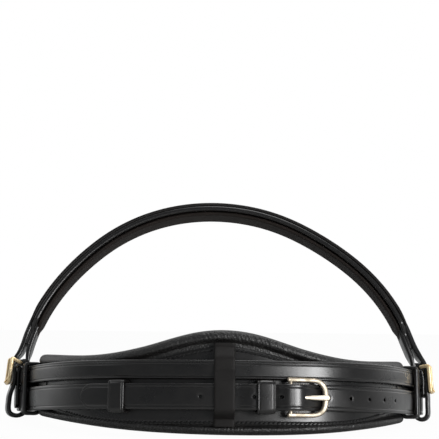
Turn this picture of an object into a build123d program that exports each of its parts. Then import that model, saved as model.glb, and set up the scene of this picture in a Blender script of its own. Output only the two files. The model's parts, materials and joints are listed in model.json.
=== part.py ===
from build123d import *
import os
from math import acos, asin, atan2, cos, degrees, radians, sin

# Padded crank noseband in black leather: a contoured jaw pad carries two flat straps side by side.
# Both straps fold round a billet at each end, and a raised nose strap joins the two billets.
# Millimetres. X runs along the band, +Y goes from the jaw pad to the nose side, +Z is up.
# The band is worked out level, with its two straps centred on Z = 0, and then seated:
# tipped back until the jaw pad and both end loops touch the ground together.
# "out" is the distance outside the outer face of the two straps, along the band's normal.

# ---------------------------------------------------------------- plan curve of the band
FRONT_R = 213.0          # radius across the jaw
FRONT_TURN = 13.0        # how far the band has turned where the side bend starts, degrees
SIDE_R = 88.0            # radius of the side bend
SIDE_TURN = 62.0         # how far it has turned where the cheek run starts
CHEEK_R = 250.0          # radius of the cheek run
END_TURN = 75.0          # how far it has turned where the strap ends fold

# ---------------------------------------------------------------- leather
STRAP_T = 2.8
UPPER_W = 11.1           # width of the upper strap
LOWER_W = 15.0           # width of the buckled strap
STRAP_GAP = 2.3          # between the two straps
LAYER_GAP = 0.1          # between leathers of one body that lie on each other
KEEPER_UNDER = 0.2       # between a keeper and the facing
FACING_T = 2.2
PAD_T = 8.0              # the whole jaw pad behind the facing
COVER_T = 1.3            # soft leather of the pad's cover
KEEPER_T = 1.6
KEEPER_SLACK = 0.25      # between a keeper and what it holds

# ---------------------------------------------------------------- outline of the jaw pad
PAD_TOP = 29.6           # height of the pad's peak over the strap centre
PAD_WAIST = 15.2         # its top along the sides
PAD_EAR = 19.3           # its top near the ends
PAD_BOTTOM = 28.6        # depth of its lowest point
PAD_STOP = 10.9          # how far before the fold the pad stops, short of the end keepers
PAD_END_X = 117.0        # where its rounded ends stop
PAD_END_DROP = 19.0      # depth of its bottom at the ends
ROLL_TOP = 7.4           # width of the pad's roll above the facing
ROLL_BOTTOM = 5.6        # and below it
FOOT_RISE_AT = 66.6      # where the bottom has started to rise, from the middle
FOOT_RISE = 2.4          # how far it has risen there
FACING_FALL = 2.0        # how far the facing's peak has dropped at PEAK_HALF
FACING_LEVEL_AT = 42.0   # where its top comes down to the straps
FACING_SHOW = 0.2        # how far it still shows over them there
FACING_TUCK = 3.5        # how far its top lies under the pad's at the waist
FACING_RISE_AT = 83.0    # where its bottom has started to rise
FACING_RISE = 3.0        # how far it has risen there
FACING_END_X = 111.0
FACING_END_ROUND = 4.0
PEAK_HALF = 16.8         # half length of the pad's rounded peak
PEAK_FALL = 1.6          # how far the peak has dropped there
WAIST_AT = 80.0          # where the top is lowest, from the middle
SHOULDER_AT = 44.0       # where the peak runs out
SHOULDER_RISE = 5.0      # how far its top is still over the waist there
END_ROUND = 6.0          # length of the pad's rounded ends
FLAT_FOOT = 24.0         # half length of the pad's flat bottom

# ---------------------------------------------------------------- front buckle, on the lower strap
WIRE = 2.7               # front buckle wire
BUCKLE_LENGTH = 23.5     # outside, along the strap
BUCKLE_HEIGHT = 22.5     # outside, across the strap
BUCKLE_CORNER_R = 7.5
BAR_AT = 37.5            # distance of the buckle bar from the middle, along the strap
FRAME_LIFT = 0.65        # between the wire and the strap under it
CHAPE_T = 1.2            # thinned leather round the bar
CHAPE_LENGTH = 20.0      # turned-back chape from the bar
CHAPE_DROP = 9.0         # length over which it comes down from the bar to the strap
TONGUE = 2.0             # thickness of the tongue
TONGUE_W = 2.6
TONGUE_FIT = 0.06        # running clearance of a tongue on its bar
TONGUE_REST = 0.05       # between a tongue's tip and the wire it rests on
TONGUE_SIDE = 0.4        # between a tongue and each side of the slot it lies in
LUG = 0.25               # how much thicker the wire is where the arms meet the bar
HOLE_D = 2.2
HOLE_PITCH = 15.0
HOLES_BEFORE = 4         # holes on the tail side of the tongue's hole
HOLES_AFTER = 5          # holes on the other side
TONGUE_HOLE_AT = 46.6    # the tongue's hole, from the middle
SLOT_PAST = 0.6          # the middle of that slot, past the hole's place
SLOT_L = 9.6             # the tongue's hole is stretched to this
TAIL_RISE_BEFORE = 3.0   # the strap starts to rise this far before the frame's end
OVER_BAR_HALF = 2.0      # half length over which it lies on the bar
CHAPE_PAST = 1.0         # how far past the chape's end it stays up
TAIL_DROP = 8.5          # length over which it comes down to the strap beneath
BAR_SLOT_L = 8.8         # slot for the tongue where the chape goes round the bar
TIP_AT = -85.8           # where the tail ends
TIP_R = 7.2              # rounding of its corners

# ---------------------------------------------------------------- keepers
CENTRE_LOOP_W = 11.3
CENTRE_LOOP_T = 1.8
LOOP_TOP = 24.0          # where the centre loop ends, over and under the strap centre
LOOP_BOTTOM = 23.6
LOOP_EASE = 0.8          # how far past a strap's edge the loop bends
FIXED_KEEPER_W = 10.6
FIXED_KEEPER_AT = 23.2
RUNNER_W = 10.0
RUNNER_AT = -61.4        # where the runner sits on the tail, along the strap
END_KEEPER_W = 8.0
END_KEEPER_AT = 5.2      # its middle, before the fold

# ---------------------------------------------------------------- strap ends and billets
BILLET_W = 12.0
BILLET_T = 2.6
BILLET_FIT = 0.2         # between the billet and the fold round it
FOLD_LEAD = 5.0          # length over which the strap opens to go round the billet
FOLD_OUT = -0.6          # middle of the billet, outside the strap face
FOLD_RETURN = 30.5       # how far the folded strap runs back
LOOP_R = 3.8             # radius of the billet's bottom turn, at its middle
LOOP_CLEAR = 1.6         # between the strap fold and the loop's lowest inside
BILLET_LEAN = 2.4        # how far the billet leans in below the nose strap
BILLET_LEAN_FROM = 14.9
TAIL_TOP = 25.0          # top of the billet's free end
TAIL_LEAN = 1.4          # how far it leans in, so that the nose strap swings past it
BILLET_BEND_R = 10.0     # radius of its slight bends

# ---------------------------------------------------------------- side buckles
SIDE_WIRE = 2.2
SIDE_BAR_UP = 17.0       # height of the hinge bar
SIDE_REST_UP = 2.0       # height of the bar that the tongue rests on
SIDE_BAR_OUT = 3.4       # the hinge bar's middle, outside the strap face
SIDE_REST_GAP = 0.2      # between the billet and the lower bar
SIDE_ARM_IN = 1.2        # how far inside the lower bar the arms bend
SIDE_ARM_DROP = 1.0      # and how far under the hinge bar
SIDE_ARM_R = 3.0
SIDE_SLOT_L = 10.5       # slot for the tongue in the billet
SIDE_SLOT_RISE = 0.6     # its middle, over the middle between the two bars
SIDE_FIT = 0.3           # between the billet's edges and the buckle
SIDE_CHAPE_T = 1.0
SIDE_TONGUE = 1.4
SIDE_TONGUE_W = 2.2

# ---------------------------------------------------------------- nose strap
SWING_UP = 26.0          # height of the axis that the nose strap swings on
NOSE_LEAN = 81.3         # its plane, from the band's plane, degrees
NOSE_RISE = 98.1         # rise of the arch over that axis, along its plane
NOSE_FRONT_T = 2.6
NOSE_FRONT_W = 15.0
NOSE_BASE_T = 2.2
NOSE_BASE_W = 22.0
NOSE_LINING_T = 2.6
NOSE_LINING_W = 20.6
FILLER_T = 1.2           # cord that raises the front
FILLER_W = 8.0
FRONT_STOP = 26.3        # the raised front ends this far along the arch from that axis
BASE_STOP = 16.0         # and here the base has come down to the billet's width
LINING_STOP = 19.5
NOSE_TAPER = 9.2         # length over which the base narrows
FILLER_STOP = 33.6       # where the cord ends
CHANNEL_PAST = 0.6       # how far its channel runs past it
EDGE_SHARE = 0.6         # rounding of the nose strap's edges, as a share of the leather's thickness
TAB_T = 3.0              # outer leather of the narrow ends
SWING_CLEAR = 0.35       # between the nose strap's ends and the billets

FACING_SPACE = KEEPER_T + KEEPER_SLACK + KEEPER_UNDER   # between the straps and the facing
BAR_OUT = WIRE / 2 + FRAME_LIFT                        # the front bar's middle, outside the strap face
STRAP_HALF = (UPPER_W + STRAP_GAP + LOWER_W) / 2
UPPER_LOW = STRAP_HALF - UPPER_W
LOWER_HIGH = -STRAP_HALF + LOWER_W
LOWER_MID = -STRAP_HALF + LOWER_W / 2
FACING_OUT = -STRAP_T - FACING_SPACE
PAD_OUT = FACING_OUT - FACING_T - LAYER_GAP
FOLD_HALF = BILLET_T / 2 + BILLET_FIT            # inside half width of the fold
LEG_OUT = FOLD_OUT
TAIL_OUT = FOLD_OUT + 2 * LOOP_R                 # middle of the billet's outer leg
LOOP_LOW = -STRAP_HALF - LOOP_CLEAR - BILLET_T / 2   # lowest point of the billet's middle line


# ================================================================ the band's plan curve
def plan_point(turn, out=0.0):
    """Point of the plan curve where the band has turned that many degrees, moved outwards."""
    side = 1 if turn >= 0 else -1
    angle = abs(turn)
    x, y, begun = 0.0, 0.0, 0.0
    for radius, until in ((FRONT_R, FRONT_TURN), (SIDE_R, SIDE_TURN), (CHEEK_R, 90.0)):
        now = min(angle, until)
        x += radius * (sin(radians(now)) - sin(radians(begun)))
        y += radius * (cos(radians(begun)) - cos(radians(now)))
        begun = now
        if angle <= until:
            break
    x += out * sin(radians(angle))
    y -= out * cos(radians(angle))
    return Vector(side * x, y)


def turn_at(length):
    """How far the band has turned at a length from the middle, measured on the straps' outer face."""
    side = 1 if length >= 0 else -1
    left, turn = abs(length), 0.0
    for radius, until in ((FRONT_R, FRONT_TURN), (SIDE_R, SIDE_TURN), (CHEEK_R, 90.0)):
        run = radius * radians(until - turn)
        if left <= run:
            return side * (turn + degrees(left / radius))
        left -= run
        turn = until
    return side * turn


def plan_run(start, end, out):
    """Arcs of the plan curve between two turns, at one distance out."""
    corners = [-SIDE_TURN, -FRONT_TURN, FRONT_TURN, SIDE_TURN]
    stops = [start] + [c for c in corners if start < c < end] + [end]
    runs = []
    for a, b in zip(stops, stops[1:]):
        runs.append(ThreePointArc(plan_point(a, out), plan_point((a + b) / 2, out), plan_point(b, out)))
    return runs


def plan_direction(turn):
    return Vector(cos(radians(turn)), sin(radians(turn)))


def plan_frame(turn, out=0.0, up=0.0):
    """Plane on the band: x along the strap, y up, z outwards."""
    at = plan_point(turn, out)
    along = plan_direction(turn)
    return Plane(origin=(at.X, at.Y, up), x_dir=(along.X, along.Y, 0), z_dir=(along.Y, -along.X, 0))


def slab(edges, low, high):
    """Solid between two heights over a closed outline in plan."""
    return Pos(0, 0, low) * extrude(Face(Wire(edges)), amount=high - low, dir=(0, 0, 1))


def band(start, end, inner, outer, low, high):
    """Plain curved slab of the band."""
    edges = plan_run(start, end, outer)
    edges.append(Line(plan_point(end, outer), plan_point(end, inner)))
    edges += plan_run(start, end, inner)
    edges.append(Line(plan_point(start, inner), plan_point(start, outer)))
    return slab(edges, low, high)


def both_ends(shape):
    return {"right": shape, "left": mirror(shape, about=Plane.YZ)}


# ================================================================ jaw pad and facing
def front_prism(top, bottom, end_x):
    """The prism of an outline given by its right half: the top, the bottom and the rounded end."""
    def mirrored(points):
        return [Vector(-x, 0, z) for x, z in reversed(points) if x > 0] + [Vector(x, 0, z) for x, z in points]
    upper, lower = mirrored(top), mirrored(bottom)
    high, low = top[-1], bottom[-1]
    middle = (high[1] + low[1]) / 2
    right = Spline([Vector(high[0], 0, high[1]), Vector(end_x, 0, middle), Vector(low[0], 0, low[1])])
    left = mirror(right, about=Plane.YZ).edge()
    face = Face(Wire([Spline(upper), right, Spline(lower), left]))
    depth = CHEEK_R
    return Pos(0, -depth / 4, 0) * extrude(face, amount=depth, dir=(0, 1, 0))


def pad_outline(inset=0.0):
    """Right half of the pad's outline, drawn in by inset."""
    ear = PAD_END_X - END_ROUND
    top = [(0, PAD_TOP - inset), (PEAK_HALF, PAD_TOP - PEAK_FALL - inset),
           (SHOULDER_AT, PAD_WAIST + SHOULDER_RISE - inset), (WAIST_AT, PAD_WAIST - inset),
           (ear - inset, PAD_EAR - inset)]
    bottom = [(0, inset - PAD_BOTTOM), (FLAT_FOOT, inset - PAD_BOTTOM),
              (FOOT_RISE_AT, inset + FOOT_RISE - PAD_BOTTOM), (ear - inset, inset - PAD_END_DROP)]
    return top, bottom


def facing_outline():
    end = FACING_END_X - FACING_END_ROUND
    top = [(0, PAD_TOP - ROLL_TOP), (PEAK_HALF, PAD_TOP - ROLL_TOP - FACING_FALL),
           (FACING_LEVEL_AT, STRAP_HALF + FACING_SHOW), (WAIST_AT, PAD_WAIST - FACING_TUCK),
           (end, PAD_EAR - ROLL_TOP)]
    bottom = [(0, ROLL_BOTTOM - PAD_BOTTOM), (FLAT_FOOT, ROLL_BOTTOM - PAD_BOTTOM),
              (FACING_RISE_AT, ROLL_BOTTOM + FACING_RISE - PAD_BOTTOM), (end, ROLL_BOTTOM - PAD_END_DROP)]
    return top, bottom


def pad_solid(inset, front, back):
    top, bottom = pad_outline(inset)
    end = END_TURN - degrees(PAD_STOP / CHEEK_R)
    sheet = band(-end, end, back, front, -2 * PAD_BOTTOM, 2 * PAD_TOP)
    return sheet & front_prism(top, bottom, PAD_END_X - inset)


def jaw_pad():
    """Soft cover as a tray with rolled edges, and the foam in it. The facing closes the tray."""
    back = PAD_OUT - PAD_T
    whole = pad_solid(0.0, PAD_OUT, back)
    hollow = pad_solid(ROLL_BOTTOM, PAD_OUT + COVER_T, back + COVER_T)
    foam = pad_solid(ROLL_BOTTOM + LAYER_GAP, PAD_OUT - LAYER_GAP, back + COVER_T + LAYER_GAP)
    cover = whole - hollow
    return cover, foam


def jaw_facing():
    top, bottom = facing_outline()
    sheet = band(-END_TURN, END_TURN, FACING_OUT - FACING_T, FACING_OUT, -2 * PAD_BOTTOM, 2 * PAD_TOP)
    return sheet & front_prism(top, bottom, FACING_END_X)


# ================================================================ straps and their folded ends
def end_frame_point(along, out):
    """Plan point in the frame of the strap's end: along the strap past the fold's start, and out."""
    base = plan_point(END_TURN)
    t = plan_direction(END_TURN)
    return Vector(base.X + along * t.X + out * t.Y, base.Y + along * t.Y - out * t.X)


FOLD_STRAIGHT = BILLET_W + 2 * BILLET_FIT
LEG_AT = FOLD_LEAD + BILLET_FIT + BILLET_W / 2    # middle of the billet past the fold's start


def fold_line(half, start_out, return_out):
    """Line round the billet at half the fold's width, from one face of the strap to the other."""
    t = plan_direction(END_TURN)
    far = FOLD_LEAD + FOLD_STRAIGHT
    a = end_frame_point(0, start_out)
    b = end_frame_point(FOLD_LEAD, FOLD_OUT + half)
    c = end_frame_point(far, FOLD_OUT + half)
    tip = end_frame_point(far + half, FOLD_OUT)
    d = end_frame_point(far, FOLD_OUT - half)
    e = end_frame_point(FOLD_LEAD, FOLD_OUT - half)
    f = end_frame_point(0, return_out)
    return [Spline([a, b], tangents=[t, t]), Line(b, c), ThreePointArc(c, tip, d), Line(d, e),
            Spline([e, f], tangents=[-t, -t])]


def folded_end(inner_out=-STRAP_T):
    """Outer and inner plan lines of the right end: out along the face, round the billet and back."""
    back = END_TURN - degrees(FOLD_RETURN / CHEEK_R)
    second = inner_out - LAYER_GAP
    outer = fold_line(FOLD_HALF + STRAP_T, 0.0, second - STRAP_T)
    inner = fold_line(FOLD_HALF, inner_out, second)
    under = plan_run(back, END_TURN, second - STRAP_T)
    over = plan_run(back, END_TURN, second)
    stop = Line(plan_point(back, second), plan_point(back, second - STRAP_T))
    return outer + under + [stop] + over + inner


def flipped(edges):
    return [mirror(e, about=Plane.YZ).edge() for e in edges]


def upper_strap():
    """One piece from fold to fold."""
    edges = folded_end() + flipped(folded_end())
    edges += plan_run(-END_TURN, END_TURN, 0.0) + plan_run(-END_TURN, END_TURN, -STRAP_T)
    return slab(edges, UPPER_LOW, STRAP_HALF)


BAR_TURN = turn_at(BAR_AT)
CHAPE_BACK = BAR_AT - CHAPE_LENGTH
OVER_BAR = BAR_OUT + WIRE / 2 + TONGUE_FIT + CHAPE_T + LAYER_GAP   # inside of the strap at the bar
OVER_CHAPE = CHAPE_T + 2 * LAYER_GAP
TAIL_IN = LAYER_GAP                                                # inside of the tail on the lower strap


def closing_path(extra):
    """The closing strap's line from the right end to the tip: under the frame, over the bar, down."""
    down = CHAPE_BACK - CHAPE_PAST
    steps = [(BAR_AT + BUCKLE_LENGTH - TAIL_RISE_BEFORE, -STRAP_T), (BAR_AT + OVER_BAR_HALF, OVER_BAR),
             (BAR_AT - OVER_BAR_HALF, OVER_BAR), (BAR_AT - CHAPE_DROP, OVER_CHAPE),
             (down, OVER_CHAPE), (down - TAIL_DROP, TAIL_IN)]
    edges = plan_run(turn_at(steps[0][0]), END_TURN, steps[0][1] + extra)
    for (s0, n0), (s1, n1) in zip(steps, steps[1:]):
        a, b = turn_at(s0), turn_at(s1)
        if n0 == n1:
            edges += plan_run(b, a, n0 + extra)
        else:
            edges.append(Spline([plan_point(b, n1 + extra), plan_point(a, n0 + extra)],
                                tangents=[plan_direction(b), plan_direction(a)]))
    edges += plan_run(turn_at(TIP_AT), turn_at(steps[-1][0]), TAIL_IN + extra)
    return edges


def hole_tool(length, across, along=0.0):
    """Cutter through every layer at a length along the strap: round, or a slot when along is given."""
    sketch = SlotOverall(along, across) if along > across else Circle(across / 2)
    return plan_frame(turn_at(length), 0.0, LOWER_MID) * extrude(sketch, amount=5 * STRAP_T, both=True)


def closing_strap():
    """The buckled strap: right fold, four holes, over the buckle's bar, and the tail to its tip."""
    tip = turn_at(TIP_AT)
    edges = folded_end() + closing_path(0.0) + closing_path(STRAP_T)
    edges.append(Line(plan_point(tip, TAIL_IN), plan_point(tip, TAIL_IN + STRAP_T)))
    strap = slab(edges, -STRAP_HALF, LOWER_HIGH)
    for i in range(-HOLES_BEFORE, HOLES_AFTER + 1):
        if i:
            strap -= hole_tool(TONGUE_HOLE_AT + i * HOLE_PITCH, HOLE_D)
    strap -= hole_tool(TONGUE_HOLE_AT + SLOT_PAST, TONGUE_W + 2 * TONGUE_SIDE, SLOT_L)
    return strap & tip_prism(tip)


def tip_prism(tip):
    """Rounds the tail's end: a long prism across the strap whose left end has rounded corners."""
    edge = plan_point(tip, TAIL_IN + STRAP_T / 2)
    length = 2 * (abs(edge.X) + plan_point(END_TURN).X)
    shape = RectangleRounded(length, LOWER_W, TIP_R)
    face = Pos(edge.X + length / 2, 0, LOWER_MID) * Rot(90, 0, 0) * shape
    return Pos(0, CHEEK_R, 0) * extrude(face, amount=2 * CHEEK_R, dir=(0, -1, 0))


def buckle_strap():
    """From the left fold to the front buckle, where thinned leather turns back round the bar."""
    flat = turn_at(BAR_AT - CHAPE_DROP)
    inside = WIRE / 2 + TONGUE_FIT
    outside = inside + CHAPE_T
    stop = Line(plan_point(flat, 0.0), plan_point(flat, -STRAP_T))
    edges = flipped(folded_end()) + plan_run(-END_TURN, flat, 0.0) + plan_run(-END_TURN, flat, -STRAP_T)
    strap = slab(edges + [stop], -STRAP_HALF, LOWER_HIGH)
    at = plan_point(BAR_TURN, BAR_OUT)
    ring = Pos(at.X, at.Y, -STRAP_HALF) * extrude(Circle(outside) - Circle(inside), amount=LOWER_W)
    under = chape_layer(BAR_OUT - outside, BAR_OUT - inside, -STRAP_T, 0.0)
    over = chape_layer(BAR_OUT + inside, BAR_OUT + outside, LAYER_GAP, LAYER_GAP + CHAPE_T)
    turned = band(turn_at(CHAPE_BACK), flat, LAYER_GAP, LAYER_GAP + CHAPE_T, -STRAP_HALF, LOWER_HIGH)
    slot = Box(BAR_SLOT_L, TONGUE_W + 2 * TONGUE_SIDE, 4 * outside)
    slot = plan_frame(BAR_TURN, BAR_OUT, LOWER_MID) * slot
    return strap + ((ring + under + over + turned) - slot)


def chape_layer(in_bar, out_bar, in_strap, out_strap):
    """Layer from the ring round the bar down to the strap's level."""
    bar, flat = BAR_TURN, turn_at(BAR_AT - CHAPE_DROP)
    t0, t1 = plan_direction(flat), plan_direction(bar)
    edges = [Spline([plan_point(flat, out_strap), plan_point(bar, out_bar)], tangents=[t0, t1]),
             Line(plan_point(bar, out_bar), plan_point(bar, in_bar)),
             Spline([plan_point(flat, in_strap), plan_point(bar, in_bar)], tangents=[t0, t1]),
             Line(plan_point(flat, in_strap), plan_point(flat, out_strap))]
    return slab(edges, -STRAP_HALF, LOWER_HIGH)


# ================================================================ keepers
def keeper(frame, width, inner_out, outer_out, low, high):
    """Closed leather loop round what lies between two distances out and two heights."""
    inside_h = high - low + 2 * KEEPER_SLACK
    inside_d = outer_out - inner_out + 2 * KEEPER_SLACK
    hole = Rectangle(inside_d, inside_h)
    ring = RectangleRounded(inside_d + 2 * KEEPER_T, inside_h + 2 * KEEPER_T, KEEPER_T * 0.9) - hole
    ring = Pos((inner_out + outer_out) / 2, (low + high) / 2, 0) * ring
    loop = extrude(ring, amount=width / 2, both=True)
    across = Plane(origin=frame.origin, x_dir=frame.z_dir, z_dir=-frame.x_dir)
    return across * loop


def centre_loop():
    """Band of leather over both straps and the tail, sewn down on the facing above and below."""
    half = CENTRE_LOOP_T / 2
    down = FACING_OUT + LAYER_GAP + half
    over_upper = half + KEEPER_SLACK
    over_tail = TAIL_IN + STRAP_T + half + KEEPER_SLACK
    rise = LOOP_EASE + 2 * CENTRE_LOOP_T
    route = [(down, LOOP_TOP), (down, STRAP_HALF + rise), (over_upper, STRAP_HALF + LOOP_EASE),
             (over_upper, UPPER_LOW + LOOP_EASE), (over_tail, LOWER_HIGH + LOOP_EASE),
             (over_tail, -STRAP_HALF - LOOP_EASE), (down, -STRAP_HALF - rise), (down, -LOOP_BOTTOM)]
    path = FilletPolyline([Vector(0, -out, up) for out, up in route], radius=CENTRE_LOOP_T / 1.5)
    section = Plane(origin=(0, -down, LOOP_TOP), x_dir=(1, 0, 0), z_dir=(0, 0, -1))
    return sweep(section * Rectangle(CENTRE_LOOP_W, CENTRE_LOOP_T), path=path)


def fixed_keeper():
    frame = plan_frame(turn_at(FIXED_KEEPER_AT))
    return keeper(frame, FIXED_KEEPER_W, -STRAP_T, OVER_CHAPE + STRAP_T, -STRAP_HALF, LOWER_HIGH)


def runner():
    frame = plan_frame(turn_at(RUNNER_AT))
    return keeper(frame, RUNNER_W, -STRAP_T, TAIL_IN + STRAP_T, -STRAP_HALF, LOWER_HIGH)


def end_keeper():
    turn = END_TURN - degrees(END_KEEPER_AT / CHEEK_R)
    return keeper(plan_frame(turn), END_KEEPER_W, -2 * STRAP_T - LAYER_GAP, 0.0, -STRAP_HALF, STRAP_HALF)


# ================================================================ front buckle
REST_TURN = turn_at(BAR_AT + BUCKLE_LENGTH - WIRE)
EYE_WALL = 0.6                                   # wall of a tongue's eye, for each mm of thickness


def buckle_plane():
    """Plane of the front buckle: origin in the bar, x towards the rounded end, z outwards."""
    a = plan_point(BAR_TURN, BAR_OUT)
    b = plan_point(REST_TURN, BAR_OUT)
    along = (b - a).normalized()
    return Plane(origin=(a.X, a.Y, LOWER_MID), x_dir=(along.X, along.Y, 0), z_dir=(along.Y, -along.X, 0))


def buckle_reach():
    return (plan_point(REST_TURN, BAR_OUT) - plan_point(BAR_TURN, BAR_OUT)).length


def buckle_frame():
    """Round wire bent to a D, with its bar between the two arm ends."""
    half = (BUCKLE_HEIGHT - WIRE) / 2
    reach = buckle_reach()
    path = FilletPolyline([Vector(0, half), Vector(reach, half), Vector(reach, -half), Vector(0, -half)],
                          radius=BUCKLE_CORNER_R)
    start = Plane(origin=(0, half, 0), x_dir=(0, 1, 0), z_dir=(1, 0, 0))
    loop = sweep(start * Circle(WIRE / 2), path=path)
    bar = Rot(90, 0, 0) * Cylinder(WIRE / 2, 2 * half)
    lug = fillet(Cylinder(WIRE / 2 + LUG, WIRE + 2 * LUG).edges().filter_by(GeomType.CIRCLE), 2 * LUG)
    for side in (1, -1):
        loop += Pos(0, side * half, 0) * Rot(90, 0, 0) * lug
    return buckle_plane() * (loop + bar)


def tongue_shape(wire, thick, width, reach):
    """Tongue in its buckle's plane: an eye round the bar and a shank that rests on the far wire."""
    eye = wire / 2 + TONGUE_FIT
    wall = EYE_WALL * thick
    slope = degrees(asin((wire / 2 + thick / 2 + TONGUE_REST) / reach))
    start, end = eye + wall / 2, reach + thick
    shank = Pos((start + end) / 2, 0) * SlotOverall(end - start + thick, thick)
    profile = Rot(0, 0, slope) * (Circle(eye + wall) + shank) - Circle(eye)
    return Rot(90, 0, 0) * extrude(profile, amount=width / 2, both=True)


def buckle_tongue():
    return buckle_plane() * tongue_shape(WIRE, TONGUE, TONGUE_W, buckle_reach())


# ================================================================ billets and side buckles
def end_plane():
    """Plane across the billet at the right end: x outwards, y up, with the strap run as normal."""
    at = end_frame_point(LEG_AT, 0.0)
    t = plan_direction(END_TURN)
    return Plane(origin=(at.X, at.Y, 0), x_dir=(t.Y, -t.X, 0), z_dir=(-t.X, -t.Y, 0))


def swing_axis_y():
    return end_frame_point(LEG_AT, LEG_OUT - BILLET_LEAN).Y


def billet():
    """Strap end that goes down through both folds, turns under them and comes up outside."""
    route = [(LEG_OUT - BILLET_LEAN, SWING_UP), (LEG_OUT, BILLET_LEAN_FROM), (LEG_OUT, LOOP_LOW),
             (TAIL_OUT, LOOP_LOW), (TAIL_OUT, SIDE_BAR_UP), (TAIL_OUT - TAIL_LEAN, TAIL_TOP)]
    turn_r = LOOP_R - LAYER_GAP / 10
    radii = [BILLET_BEND_R, turn_r, turn_r, BILLET_BEND_R]
    path = FilletPolyline([Vector(out, up) for out, up in route], radius=radii)
    down = (Vector(*route[1]) - Vector(*route[0])).normalized()
    section = Plane(origin=(route[0][0], route[0][1], 0), x_dir=(0, 0, 1), z_dir=(down.X, down.Y, 0))
    strap = sweep(section * Rectangle(BILLET_W, BILLET_T), path=path)
    slot = Box(2 * BILLET_T, SIDE_SLOT_L, SIDE_TONGUE_W + 2 * TONGUE_SIDE)
    slot = Pos(TAIL_OUT, (SIDE_BAR_UP + SIDE_REST_UP) / 2 + SIDE_SLOT_RISE, 0) * slot
    side, r, far = 2 * BILLET_W, BILLET_W / 2 + SWING_CLEAR, 4 * plan_point(END_TURN).X
    inner_leg = Pos((LEG_OUT + TAIL_OUT - side) / 2, SWING_UP, 0) * Box(side, side, side)
    room = Rot(0, 90, 0) * Cylinder(r, far) + Pos(0, side / 2, 0) * Box(far, side, 2 * r)
    room = (Pos(0, swing_axis_y(), SWING_UP) * room) & (end_plane() * inner_leg)
    return end_plane() * (strap - slot) - room


def side_rest_out():
    return TAIL_OUT + BILLET_T / 2 + SIDE_REST_GAP + SIDE_WIRE / 2


def side_buckle():
    """Two bars joined by bowed arms that stand outside the billet."""
    half = BILLET_W / 2 + SIDE_FIT + SIDE_WIRE / 2
    r = SIDE_WIRE / 2
    rest = side_rest_out()
    hinge, elbow = Vector(SIDE_BAR_OUT, SIDE_BAR_UP), Vector(rest - SIDE_ARM_IN, SIDE_BAR_UP - SIDE_ARM_DROP)
    arm_path = FilletPolyline([hinge, elbow, Vector(rest, SIDE_REST_UP)], radius=SIDE_ARM_R)
    first = (elbow - hinge).normalized()
    start = Plane(origin=(SIDE_BAR_OUT, SIDE_BAR_UP, 0), x_dir=(0, 0, 1), z_dir=(first.X, first.Y, 0))
    arm = sweep(start * Circle(r), path=arm_path)
    shape = Pos(SIDE_BAR_OUT, SIDE_BAR_UP, 0) * Cylinder(r, 2 * half)
    shape += Pos(rest, SIDE_REST_UP, 0) * Cylinder(r, 2 * half)
    for side in (1, -1):
        shape += Pos(0, 0, side * half) * arm
        shape += Pos(SIDE_BAR_OUT, SIDE_BAR_UP, side * half) * Sphere(r)
        shape += Pos(rest, SIDE_REST_UP, side * half) * Sphere(r)
    return end_plane() * shape


def side_tongue():
    """Tongue of a side buckle, from the hinge bar down to rest on the lower bar."""
    run = Vector(side_rest_out() - SIDE_BAR_OUT, SIDE_REST_UP - SIDE_BAR_UP)
    along = run.normalized()
    local = Plane(origin=(SIDE_BAR_OUT, SIDE_BAR_UP, 0), x_dir=(along.X, along.Y, 0),
                  z_dir=(-along.Y, along.X, 0))
    return end_plane() * (local * tongue_shape(SIDE_WIRE, SIDE_TONGUE, SIDE_TONGUE_W, run.length))


def side_chape():
    """Thin leather that ties the side buckle's hinge bar to the billet."""
    inside = SIDE_WIRE / 2 + TONGUE_FIT
    outside = inside + SIDE_CHAPE_T
    face = LEG_OUT + BILLET_T / 2 + LAYER_GAP
    low, high = BILLET_LEAN_FROM, SWING_UP - BILLET_W / 2 - SWING_CLEAR - LAYER_GAP
    drop = BILLET_LEAN * (high - BILLET_LEAN_FROM) / (SWING_UP - BILLET_LEAN_FROM)
    front = SIDE_BAR_OUT - inside
    flap = Polygon((face, low), (front, low), (front, high), (face - drop, high), align=None)
    ring = Pos(SIDE_BAR_OUT, SIDE_BAR_UP) * Circle(outside)
    hole = Pos(SIDE_BAR_OUT, SIDE_BAR_UP) * Circle(inside)
    shape = extrude((ring + flap) - hole, amount=BILLET_W / 2, both=True)
    eye = inside + EYE_WALL * SIDE_TONGUE + LAYER_GAP
    slot = Pos(SIDE_BAR_OUT - eye + 2 * outside, SIDE_BAR_UP, 0)
    slot = slot * Box(4 * outside, 4 * outside, SIDE_TONGUE_W + 2 * TONGUE_SIDE)
    return end_plane() * (shape - slot)


# ================================================================ nose strap
def half_span():
    return end_frame_point(LEG_AT, LEG_OUT - BILLET_LEAN).X


BASE_MID_R = (half_span() ** 2 + NOSE_RISE ** 2) / (2 * NOSE_RISE)   # middle of the base leather
NOSE_DROP = BASE_MID_R - NOSE_RISE               # how far the arch's centre lies under the swing axis
ROOT_TURN = degrees(acos(NOSE_DROP / BASE_MID_R))  # half angle of the arch down to that axis
BASE_OUTER = BASE_MID_R + NOSE_BASE_T / 2
FRONT_INNER = BASE_OUTER + LAYER_GAP
LINING_OUTER = BASE_OUTER - NOSE_BASE_T - LAYER_GAP


def arch_turn(stop):
    """Half angle of the arch at a distance along it from the swing axis."""
    return ROOT_TURN - degrees(stop / BASE_MID_R)


def nose_plane():
    """Plane of the arch: x across, y up the arch, origin in its centre, normal along its width."""
    lean = radians(NOSE_LEAN)
    up = Vector(0, cos(lean), sin(lean))
    origin = Vector(0, swing_axis_y(), SWING_UP) - up * NOSE_DROP
    normal = Vector(1, 0, 0).cross(up)
    return Plane(origin=(origin.X, origin.Y, origin.Z), x_dir=(1, 0, 0), z_dir=(normal.X, normal.Y, normal.Z))


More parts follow.
